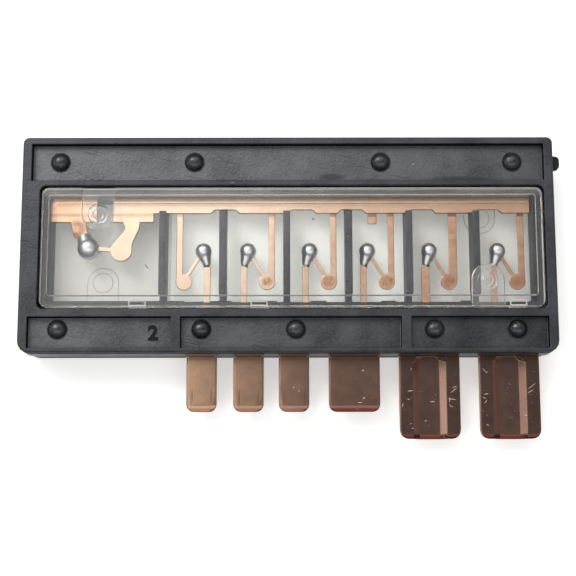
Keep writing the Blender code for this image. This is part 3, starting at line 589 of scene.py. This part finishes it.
WIDE_TIP = -0.02352
TIP_BAND = 0.0009
TIP_SHADE_RANGE = {"From Min": 0.0, "From Max": 0.006, "To Min": 0.6}
COPPER_SCRATCHES = ((0.00009, 28, 12, 0.75, 0.79),)
HANDLED_RANGE = {"From Min": 0.004, "From Max": 0.022}
SCRATCH_SHARE = 0.75
SCRATCH_ROUGHER = 0.25
BLADE_NICKS = (
    (18.4, -16.1, 8, 1.0, 0.14),
    (18.1, -17.4, -20, 0.5, 0.12),
    (21.9, -17.7, 3, 0.9, 0.14),
    (20.8, -20.7, 0, 0.5, 0.14),
    (24.9, -17.4, -8, 1.6, 0.12),
    (25.2, -16.0, 40, 1.6, 0.10),
    (25.3, -15.5, 25, 1.1, 0.08),
    (24.5, -17.5, 85, 0.9, 0.12),
    (24.6, -18.4, -60, 0.8, 0.08),
    (18.7, -21.9, 0, 0.4, 0.12),
    (17.2, -18.3, 80, 0.8, 0.10),
    (18.4, -21.2, 30, 0.4, 0.10),
    (18.6, -12.7, 70, 0.5, 0.10),
    (30.0, -12.9, -50, 1.1, 0.12),
    (30.4, -13.2, 40, 0.7, 0.10),
    (30.2, -16.6, 5, 0.9, 0.14),
    (30.1, -17.8, 50, 0.9, 0.12),
    (29.9, -17.2, -30, 0.7, 0.10),
    (37.3, -15.4, 38, 2.0, 0.10),
    (37.1, -16.2, 30, 1.4, 0.10),
    (36.3, -19.9, -30, 0.4, 0.12),
    (30.3, -21.4, -20, 0.5, 0.12),
    (11.1, -12.9, 0, 0.4, 0.26),
    (11.2, -17.2, 20, 0.5, 0.14),
    (10.6, -17.9, 5, 0.9, 0.10),
    (0.3, -15.5, 60, 0.4, 0.12),
    (1.1, -16.1, 0, 0.3, 0.12),
)
# Painted shade: dark lines along the ridges of the narrow blades' lead-in bevels.
LEAD_IN_SHADE_LINES = (
    (-15.50, -16.9, 90, 3.2, 0.17),
    (-12.55, -16.9, 90, 3.2, 0.17),
    (-8.20, -17.1, 90, 3.4, 0.17),
    (-5.25, -17.1, 90, 3.4, 0.17),
    (-1.21, -17.2, 90, 3.0, 0.15),
    (1.99, -17.2, 90, 3.0, 0.15),
)


def covered_copper(tree, place, cloud):
    """The sheet's colour behind the cover: bright, with a line and a band along the bus, painted
    shade in the coined band below the bus, a deeper colour towards the right as a painted falloff
    of the light, stains on the strips, painted stronger towards the right, stains on the pads, and
    the mark of heat on the main link's neck."""
    across, along, _ = add(tree, "SeparateXYZ", {0: place}).outputs

    # The edge line along the bus, and the duller band beyond it.
    band = add(
        tree,
        "MapRange",
        {
            "Value": along,
            "From Min": SCORE_LINE,
            "From Max": SCORE_LINE + BAND_SOFT,
            "To Max": BAND_SHARE,
        },
    )
    beside = add(tree, "Math", {0: along, 1: SCORE_LINE}, operation="SUBTRACT")
    apart = add(tree, "Math", {0: beside}, operation="ABSOLUTE")
    scored = add(
        tree, "MapRange", {"Value": apart, "From Min": SCORE_WIDTH / 2, "From Max": SCORE_WIDTH / 6}
    )

    # Stains on the strips, painted stronger towards the right as painted shade, stains on the pads,
    # and the heat mark.
    blotches = add(tree, "MapRange", {"Value": cloud, **BLOTCH_RANGE})
    under_bus = add(
        tree,
        "MapRange",
        {"Value": along, "From Min": COIN_TOP + BAND_SOFT, "From Max": COIN_BOTTOM},
    )
    blotched = add(tree, "Math", {0: blotches, 1: under_bus}, operation="MULTIPLY")
    rightwards = add(tree, "MapRange", {"Value": across, **STAIN_SHADE_RANGE})
    stronger = add(tree, "Math", {0: rightwards, 1: STAIN_SHADE_SHARE}, operation="MULTIPLY")
    stains_and_shade = add(tree, "Math", {0: blotched, 1: stronger}, operation="MULTIPLY")
    swirls = add(
        tree,
        "TexNoise",
        {"Vector": place, "Scale": 1 / SWIRL_SIZE, "Detail": 4.0, "Distortion": 1.2},
    )
    swirled = add(tree, "MapRange", {"Value": swirls, **SWIRL_RANGE})
    pads = marks_at(tree, place, PAD_STAINS)
    on_pads = add(tree, "Math", {0: pads, 1: swirled}, operation="MULTIPLY")
    warmth = add(tree, "MapRange", {"Value": cloud, **HEAT_RANGE})
    heat = marks_at(tree, place, (HEAT_MARK,))
    heated = add(tree, "Math", {0: heat, 1: warmth}, operation="MULTIPLY")

    # Painted shade in the coined band below the bus, stronger towards the right, and broad tones
    # from the feed piece to the last strip.
    coin_top = add(
        tree,
        "MapRange",
        {"Value": along, "From Min": COIN_TOP + COIN_SOFT, "From Max": COIN_TOP - COIN_SOFT},
    )
    coin_foot = add(
        tree,
        "MapRange",
        {"Value": along, "From Min": COIN_BOTTOM, "From Max": COIN_BOTTOM + COIN_FOOT_SOFT},
    )
    coined = add(tree, "Math", {0: coin_top, 1: coin_foot}, operation="MULTIPLY")
    darker = add(tree, "MapRange", {"Value": rightwards, **COIN_SHADE_RANGE})
    shaded = add(tree, "Math", {0: coined, 1: darker}, operation="MULTIPLY")
    broad = add(tree, "TexNoise", {"Vector": place, "Scale": 1 / BROAD_SIZE, "Detail": 3.0})
    return layered(
        tree,
        COPPER_BRIGHT,
        # painted light falloff: a deeper colour towards the right
        (add(tree, "MapRange", {"Value": across, **COVERED_FALLOFF_RANGE}), COPPER_FALLOFF_SHADE),
        (band, COPPER_ORANGE),
        (scored, COPPER_TINT),
        (add(tree, "MapRange", {"Value": broad, **BROAD_RANGE}), COPPER_ORANGE),
        (add(tree, "MapRange", {"Value": across, **FEED_RANGE}), COPPER_WARM),
        (stains_and_shade, COPPER_STAIN_AND_SHADE),
        (on_pads, COPPER_SWIRL),
        (heated, COPPER_TINT),
        # painted shade in the coined band
        (shaded, COPPER_TINT),
    )


def bare_copper(tree, place, normal, grain):
    """The sheet's colour outside the body: brown, painted darker from blade to blade towards the
    right as a painted falloff of the light, with fine mottling, painted light on the grooves'
    slopes, darker wide blades, and painted shade as dark red tips and dark lead-in lines."""
    across, along, height = add(tree, "SeparateXYZ", {0: place}).outputs
    flecks = add(tree, "MapRange", {"Value": grain, **FLECK_RANGE})
    mottled = add(tree, "Math", {0: flecks, 1: FLECK_SHARE}, operation="MULTIPLY")

    # Painted light on the grooves: each slope is given its own lighter colour by the way it faces.
    clear_of_body = add(
        tree,
        "MapRange",
        {"Value": along, "From Min": OPEN_EDGE, "From Max": OPEN_EDGE - OPEN_SOFT},
    )
    tilted = add(tree, "MapRange", {"Value": normal["Z"], **TILTED_RANGE})
    sloping = add(tree, "Math", {0: clear_of_body, 1: tilted}, operation="MULTIPLY")
    to_right = add(tree, "MapRange", {"Value": normal["X"], **LOOKS_RIGHT})
    to_left = add(tree, "MapRange", {"Value": normal["X"], **LOOKS_LEFT})
    left_slope = add(tree, "Math", {0: sloping, 1: to_right}, operation="MULTIPLY")
    right_slope = add(tree, "Math", {0: sloping, 1: to_left}, operation="MULTIPLY")

    # The wide blades are darker, most of all beside the grooves, and every tip has a dark red band
    # of painted shade, stronger towards the right.
    wide = add(tree, "Math", {0: across, 1: WIDE_FROM}, operation="GREATER_THAN")
    flange_from = (GROOVE_FLOOR + SHEET_FRONT) / 2
    flange = add(tree, "Math", {0: height, 1: flange_from}, operation="GREATER_THAN")
    flange_darker = add(tree, "MapRange", {"Value": flange, **WIDE_DARKER})
    on_wide = add(tree, "Math", {0: wide, 1: flange_darker}, operation="MULTIPLY")
    tip = add(tree, "Mix", {0: wide, 2: NARROW_TIP, 3: WIDE_TIP}, data_type="FLOAT")
    from_tip = add(tree, "Math", {0: along, 1: tip}, operation="SUBTRACT")
    at_tip = add(
        tree, "MapRange", {"Value": from_tip, "From Min": TIP_BAND, "From Max": TIP_BAND / 2}
    )
    rightward_tip_shade = add(tree, "MapRange", {"Value": across, **TIP_SHADE_RANGE})
    tip_shade = add(tree, "Math", {0: at_tip, 1: rightward_tip_shade}, operation="MULTIPLY")
    return layered(
        tree,
        COPPER_BROWN,
        # painted light falloff: darker from blade to blade towards the right
        (add(tree, "MapRange", {"Value": across, **BLADE_FALLOFF_RANGE}), COPPER_DARK),
        (mottled, COPPER_FLECK_AND_SHADE),
        (on_wide, COPPER_WIDE_DARK),
        (left_slope, COPPER_LEFT_SLOPE_LIGHT),
        (right_slope, COPPER_RIGHT_SLOPE_LIGHT),
        # painted shade along the lead-in bevels
        (marks_at(tree, place, LEAD_IN_SHADE_LINES), COPPER_FLECK_AND_SHADE),
        # painted shade at the tips
        (tip_shade, COPPER_RED),
    )


def rolled_copper():
    """Rolled copper sheet: satin, bright behind the cover and brown outside the body, with painted
    shade on its cut edges, and with nicks and scratches from the sockets."""
    material, tree = new_material("rolled_copper_sheet")
    coordinates = add(tree, "TexCoord")
    place = coordinates.outputs["Object"]
    across, along, _ = add(tree, "SeparateXYZ", {0: place}).outputs
    normal = add(tree, "SeparateXYZ", {0: coordinates.outputs["Normal"]}).outputs
    cloud = add(tree, "TexNoise", {"Vector": place, "Scale": 1 / CLOUD_SIZE, "Detail": 4.0})
    grain = add(tree, "TexNoise", {"Vector": place, "Scale": 1 / GRAIN_SIZE, "Detail": 2.0})
    outside = add(
        tree, "MapRange", {"Value": along, "From Min": COVERED_EDGE, "From Max": OPEN_EDGE}
    )
    handled = add(tree, "MapRange", {"Value": across, **HANDLED_RANGE})
    used = add(tree, "Math", {0: handled, 1: outside}, operation="MULTIPLY")
    fine_marks = streaks(tree, place, COPPER_SCRATCHES)
    rubbed = add(tree, "Math", {0: fine_marks, 1: used}, operation="MULTIPLY")
    shown = strongest(tree, marks_at(tree, place, BLADE_NICKS), rubbed)
    scratched = add(tree, "Math", {0: shown, 1: SCRATCH_SHARE}, operation="MULTIPLY")
    cut = add(tree, "MapRange", {"Value": normal["Z"], **CUT_RANGE})
    colour = layered(
        tree,
        covered_copper(tree, place, cloud),
        (outside, bare_copper(tree, place, normal, grain)),
        # painted shade on faces that turn away from the lamps above: the cut edges
        (cut, COPPER_FLECK_AND_SHADE),
        (scratched, COPPER_SCRATCH),
    )

    uneven = add(tree, "MapRange", {"Value": cloud, **COPPER_ROUGHNESS})
    rough = add(
        tree, "Math", {0: shown, 1: SCRATCH_ROUGHER, 2: uneven}, operation="MULTIPLY_ADD"
    )
    texture = add(
        tree, "Bump", {"Height": grain, "Strength": GRAIN_STRENGTH, "Distance": GRAIN_RELIEF}
    )
    shader = add(
        tree,
        "BsdfPrincipled",
        {"Base Color": colour, "Metallic": 1.0, "Roughness": rough, "Normal": texture},
    )
    add(tree, "OutputMaterial", {"Surface": shader})
    return material


copper_sheet = rolled_copper()
element = merged_copy("element_plate", "stamped_element")
shape = bmesh.new()
shape.from_mesh(element.data)
groove_ends = set()
for face in shape.faces:
    on_floor = abs(face.calc_center_median().z - GROOVE_FLOOR) < MERGE
    if on_floor and face.normal.z > FACES_UP:
        groove_ends.update(point for point in face.verts if point.co.y > GROOVE_END)
for point in groove_ends:
    point.co.y += GROOVE_STEEPER
shape.to_mesh(element.data)
shape.free()
round_edges(element, COPPER_ROUND)
seat(element, copper_sheet, "element_plate")


# Tin pellets: seven drops of tin melted onto the links. Each set as a smooth bulb, with a tail
# that wets the strip below it, or the neck above the main one, and a shoulder on its link.
TIN = "#DEDFE1"
# painted shade: a dark tint on the tin's grazing reflections, at its rim
TIN_RIM_SHADE = "#85878B"
TIN_ROUGHNESS = {"To Min": 0.28, "To Max": 0.38}
TIN_WAVES = 0.0012
WAVE_STRENGTH = 0.08
WAVE_DEPTH = 0.0001
TIN_VOXEL = 0.00007
MELTING = 0.6  # how far each round of smoothing goes, and how many there are
MELTING_ROUNDS = 14
SMALL_TAIL = (0.00064, -0.0023)  # from the bulb's middle, towards the side of its strip
SMALL_SHOULDER = (0.0010, -0.0016)
SMALL_TAIL_RADIUS = 0.00056
MAIN_TAIL = (-0.0009, 0.0021)
MAIN_SHOULDER = (0.0022, -0.0003)
MAIN_TAIL_RADIUS = 0.00100
SHOULDER_RADIUS = 0.00026
SHOULDER_ROOT = 0.55  # share of the bulb's radius
TAIL_ROOT = 0.97
TAIL_DROP = 0.0002  # its end lies this much lower than the bulb's middle


def set_tin():
    """Tin set from the melt: bright and smooth, with slight waves in its skin, and painted shade on
    its rim.
    """
    material, tree = new_material("tin_set_from_the_melt")
    place = add(tree, "TexCoord").outputs["Object"]
    skin = add(tree, "TexNoise", {"Vector": place, "Scale": 1 / TIN_WAVES, "Detail": 1.0})
    shader = add(
        tree,
        "BsdfPrincipled",
        {
            "Base Color": linear(TIN),
            "Specular Tint": linear(TIN_RIM_SHADE),
            "Metallic": 1.0,
            "Roughness": add(tree, "MapRange", {"Value": skin, **TIN_ROUGHNESS}),
            "Normal": add(
                tree, "Bump", {"Height": skin, "Strength": WAVE_STRENGTH, "Distance": WAVE_DEPTH}
            ),
        },
    )
    add(tree, "OutputMaterial", {"Surface": shader})
    return material


def tin_drop(name, middle, radius, arms):
    """A bulb with arms drawn out of it: cones are sunk into it, then all is melted together. Each
    arm is where it ends from the bulb's middle, its radius there and its share at the root."""
    bpy.ops.mesh.primitive_ico_sphere_add(subdivisions=4, radius=radius, location=middle)
    drop = bpy.context.object
    drop.name = name
    cones = []
    for reach, end, root in arms:
        along = Vector((*reach, -TAIL_DROP))
        bpy.ops.mesh.primitive_cone_add(
            vertices=32,
            radius1=radius * root,
            radius2=end,
            depth=along.length,
            location=Vector(middle) + along / 2,
            rotation=along.to_track_quat("Z", "Y").to_euler(),
        )
        cones.append(bpy.context.object)
    join(drop, cones)
    bpy.ops.object.transform_apply(location=True, rotation=True, scale=True)
    remesh = drop.modifiers.new("melted together", "REMESH")
    remesh.mode = "VOXEL"
    remesh.voxel_size = TIN_VOXEL
    bpy.ops.object.modifier_apply(modifier=remesh.name)
    smooth = drop.modifiers.new("surface tension", "SMOOTH")
    smooth.factor = MELTING
    smooth.iterations = MELTING_ROUNDS
    bpy.ops.object.modifier_apply(modifier=smooth.name)
    bpy.ops.object.shade_smooth()
    return drop


tin = set_tin()
low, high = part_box("main_pellet")
bulb = (high[2] - low[2]) / 2
middle = ((low[0] + high[0]) / 2, low[1] + bulb, (low[2] + high[2]) / 2)
main_arms = (
    (MAIN_TAIL, MAIN_TAIL_RADIUS, TAIL_ROOT),
    (MAIN_SHOULDER, SHOULDER_RADIUS, SHOULDER_ROOT),
)
main_drop = tin_drop("main_tin_drop", middle, bulb, main_arms)
seat(main_drop, tin, "main_pellet")

for number in range(1, 7):
    low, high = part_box(f"tin_pellet_{number}")
    bulb = (high[2] - low[2]) / 2
    middle = ((low[0] + high[0]) / 2, high[1] - bulb, (low[2] + high[2]) / 2)
    side = 1 if number == 1 else -1
    tail = (side * SMALL_TAIL[0], SMALL_TAIL[1])
    shoulder = (-side * SMALL_SHOULDER[0], SMALL_SHOULDER[1])
    arms = ((tail, SMALL_TAIL_RADIUS, TAIL_ROOT), (shoulder, SHOULDER_RADIUS, SHOULDER_ROOT))
    small_drop = tin_drop(f"tin_drop_{number}", middle, bulb, arms)
    seat(small_drop, tin, f"tin_pellet_{number}")


# Front shell: the other half of the black housing, pressed over the stakes, whose heads are
# melted over in its recesses. Its lower left recess has a small plain moulded number.
FLOOR_RISE = 0.0005  # the recesses' skin stands this much above the solid's floor
RIM_THINNER = 0.00025  # the top rim is thinner by this
TOP_RECESS_BELOW = 0.0165
BOTTOM_RECESS_ABOVE = -0.0045
RECESS_MARGIN = SHELL_ROUND / 4
NUMBER_PLACE = (-0.0214, -0.00755)
NUMBER_SIZE = 0.0031
NUMBER_RAISED = 0.00010
NUMBER_ROUND = 0.00012
NUMBER_ROUGHNESS = 0.95
NUMBER_SHARP = math.radians(60)
SHELL_DARK_MARKS = (
    (6.3, 17.3, 0, 5.2, 1.5),
    (26.9, 17.0, 0, 11.0, 1.1),
    (-33.5, 18.2, -32, 1.5, 0.22),
    (-32.2, 17.4, -40, 1.1, 0.18),
    (-31.2, 16.9, -20, 1.3, 0.22),
    (-30.2, 16.9, 15, 1.4, 0.22),
    (-29.6, 17.3, 55, 0.9, 0.18),
    (-8.3, 18.9, 85, 1.6, 0.20),
)
SHELL_SPECKS = (
    (19.2, 19.4, 0, 0.34, 0.30),
    (-9.2, 16.1, 10, 0.9, 0.12),
    (29.4, -3.9, 5, 0.8, 0.12),
)

front_shell = merged_copy("front_shell", "front_shell_moulding")
recess_points = []
for point in front_shell.data.vertices:
    in_recess = not BOTTOM_RECESS_ABOVE < point.co.y < TOP_RECESS_BELOW
    if in_recess and abs(point.co.z - RECESS_FLOOR) < MERGE:
        recess_points.append(point)
recess_top = max(point.co.y for point in recess_points)
for point in recess_points:
    point.co.z += FLOOR_RISE
for point in front_shell.data.vertices:
    if abs(point.co.y - recess_top) < MERGE and point.co.z > RECESS_FLOOR:
        point.co.y += RIM_THINNER
recesses = []
for side in (-1, 1):
    places = [point.co.xy for point in recess_points if point.co.y * side > 0]
    low = [min(place[axis] for place in places) - RECESS_MARGIN for axis in (0, 1)]
    high = [max(place[axis] for place in places) + RECESS_MARGIN for axis in (0, 1)]
    recesses.append((low, high))
round_edges(front_shell, SHELL_ROUND)

number_foot = RECESS_FLOOR + FLOOR_RISE + NUMBER_RAISED / 2
front_polyester = moulded_plastic(
    "moulded_black_polyester_front",
    (
        (0, RECESS_ROUGHNESS),
        (number_foot, NUMBER_ROUGHNESS),
        (BODY_FRONT - RIM_DEPTH, FACE_ROUGHNESS),
    ),
    SHELL_DARK_MARKS,
    SHELL_SPECKS,
    recesses,
)

bpy.ops.object.text_add(location=(*NUMBER_PLACE, RECESS_FLOOR + FLOOR_RISE))
number_mark = bpy.context.object
number_mark.data.body = "2"
number_mark.data.size = NUMBER_SIZE
number_mark.data.align_x = "CENTER"
number_mark.data.align_y = "CENTER"
number_mark.data.extrude = NUMBER_RAISED
number_mark.data.bevel_depth = NUMBER_ROUND
number_mark.data.bevel_resolution = 2
bpy.ops.object.convert(target="MESH")
bpy.ops.object.transform_apply(location=True, rotation=True, scale=True)
bpy.ops.object.shade_smooth_by_angle(angle=NUMBER_SHARP)
join(front_shell, [number_mark])
seat(front_shell, front_polyester, "front_shell")


# Front cover: the same clear tray as the rear one, snapped in from the front. Three snap tabs
# show along its lower edge, and its two gate marks have a low boss in their middle.
GATE_STEP = 0.0003  # each step of a gate mark
GATE_SLACK = 0.00001
GATE_RING = 0.0007
GATE_BOSS = 0.00010
TAB_RIM = 0.00022
TABS = ((-0.02518, -0.02244), (-0.00634, -0.00369), (0.03359, 0.03626))  # their left and right
TAB_BOTTOM = -0.00345
TAB_TOP = -0.00250

front_cover = merged_copy("front_cover", "front_cover_tray")
gate_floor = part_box("front_cover")[1][2] - 2 * GATE_STEP
edit_faces(
    front_cover,
    lambda face: face.normal.z > FACES_UP
    and abs(face.calc_center_median().z - gate_floor) < GATE_SLACK,
)
bpy.ops.mesh.inset(thickness=GATE_RING, depth=0)
bpy.ops.mesh.inset(thickness=GATE_BOSS, depth=GATE_BOSS)
bpy.ops.object.mode_set(mode="OBJECT")
round_edges(front_cover, COVER_ROUND)

# Each tab is a raised frame.
tabs = []
for left, right in TABS:
    bpy.ops.mesh.primitive_cube_add(
        size=1,
        location=((left + right) / 2, (TAB_BOTTOM + TAB_TOP) / 2, COVER_FACE + TAB_RAISED / 2),
    )
    tab = bpy.context.object
    tab.scale = (right - left, TAB_TOP - TAB_BOTTOM, TAB_RAISED)
    bpy.ops.object.transform_apply(location=True, rotation=True, scale=True)
    edit_faces(tab, lambda face: abs(face.normal.z) > FACES_UP)
    bpy.ops.mesh.inset(thickness=TAB_RIM, depth=0)
    bpy.ops.mesh.bridge_edge_loops()
    bpy.ops.object.mode_set(mode="OBJECT")
    round_edges(tab, TAB_RIM / 6)
    tabs.append(tab)
join(front_cover, tabs)
seat(front_cover, polycarbonate, "front_cover")


# Floor: a plain white light table that glows weakly, which the block lies on, so that its
# shadows stay soft and pale.
FLOOR_COLOUR = "#F4F4F2"
FLOOR_GLOW = 0.45
FLOOR_ROUGHNESS = 0.7
FLOOR_SIZE = 3.0

bpy.ops.mesh.primitive_plane_add(size=FLOOR_SIZE)
floor = bpy.context.object
floor.name = "floor"
light_table, table_tree = new_material("white_light_table")
table_shader = add(
    table_tree,
    "BsdfPrincipled",
    {
        "Base Color": linear(FLOOR_COLOUR),
        "Roughness": FLOOR_ROUGHNESS,
        "Emission Color": linear(FLOOR_COLOUR),
        "Emission Strength": FLOOR_GLOW,
    },
)
add(table_tree, "OutputMaterial", {"Surface": table_shader})
floor.data.materials.append(light_table)


# Light: as in a light tent. A broad panel hangs above and behind, with a small softbox beside
# it, and weaker panels glow from the left, the right and the near side, in a dim white room.
LAMPS = (  # name, place, the point that it faces, width, height, watts
    ("overhead_panel", (-0.20, 0.35, 0.60), (-0.20, 0.35, 0), 1.40, 0.90, 3.05),
    ("key_softbox", (-0.38, 0.46, 0.72), (0, 0, 0), 0.32, 0.32, 2.6),
    ("wall_glow", (-1.00, 0.00, 0.22), (0, 0, 0), 0.90, 0.40, 1.2),
    ("right_panel", (0.85, 0.10, 0.60), (0.85, 0.10, 0), 0.70, 1.20, 0.7),
    ("near_panel", (0.0, -0.25, 0.60), (0.0, -0.25, 0), 1.20, 0.30, 1.9),
)
PANEL_SLANT = (1, -0.7, 0)  # the panel is lit from its far left corner and fades this way
PANEL_MIDDLE = {"From Min": -0.060, "From Max": -0.145, "To Min": 0.36, "To Max": 1.0}
PANEL_RIGHT = {"From Min": 0.06, "From Max": -0.04, "To Min": 0.6, "To Max": 1.0}
PANEL_FAR = {"From Min": 0.160, "From Max": 0.180, "To Min": 1.0, "To Max": 2.8}  # along Y
ROOM_WHITE = "#FFFFFF"
ROOM_STRENGTH = 0.24

for name, place, target, width, height, watts in LAMPS:
    lamp = bpy.data.lights.new(name, "AREA")
    lamp.shape = "RECTANGLE"
    lamp.size = width
    lamp.size_y = height
    lamp.energy = watts
    holder = bpy.data.objects.new(name, lamp)
    holder.location = place
    facing = Vector(target) - Vector(place)
    holder.rotation_euler = facing.to_track_quat("-Z", "Y").to_euler()
    bpy.context.scene.collection.objects.link(holder)

panel = bpy.data.lights["overhead_panel"]
panel.use_nodes = True
panel_tree = panel.node_tree
place = add(panel_tree, "NewGeometry").outputs["Position"]
away = add(panel_tree, "SeparateXYZ", {0: place}).outputs["Y"]
slant = add(panel_tree, "VectorMath", {0: place, 1: PANEL_SLANT}, operation="DOT_PRODUCT")
slant = slant.outputs["Value"]
fade = add(
    panel_tree, "MapRange", {"Value": slant, **PANEL_MIDDLE}, interpolation_type="SMOOTHSTEP"
)
falling = add(panel_tree, "MapRange", {"Value": slant, **PANEL_RIGHT})
rising = add(panel_tree, "MapRange", {"Value": away, **PANEL_FAR})
faded = add(panel_tree, "Math", {0: fade, 1: falling}, operation="MULTIPLY")
glow = add(panel_tree, "Math", {0: faded, 1: rising}, operation="MULTIPLY")
panel_tree.links.new(glow.outputs[0], panel_tree.nodes["Emission"].inputs["Strength"])

room = bpy.data.worlds.new("dim_room")
bpy.context.scene.world = room
room.use_nodes = True
background = room.node_tree.nodes["Background"]
background.inputs["Color"].default_value = linear(ROOM_WHITE)
background.inputs["Strength"].default_value = ROOM_STRENGTH
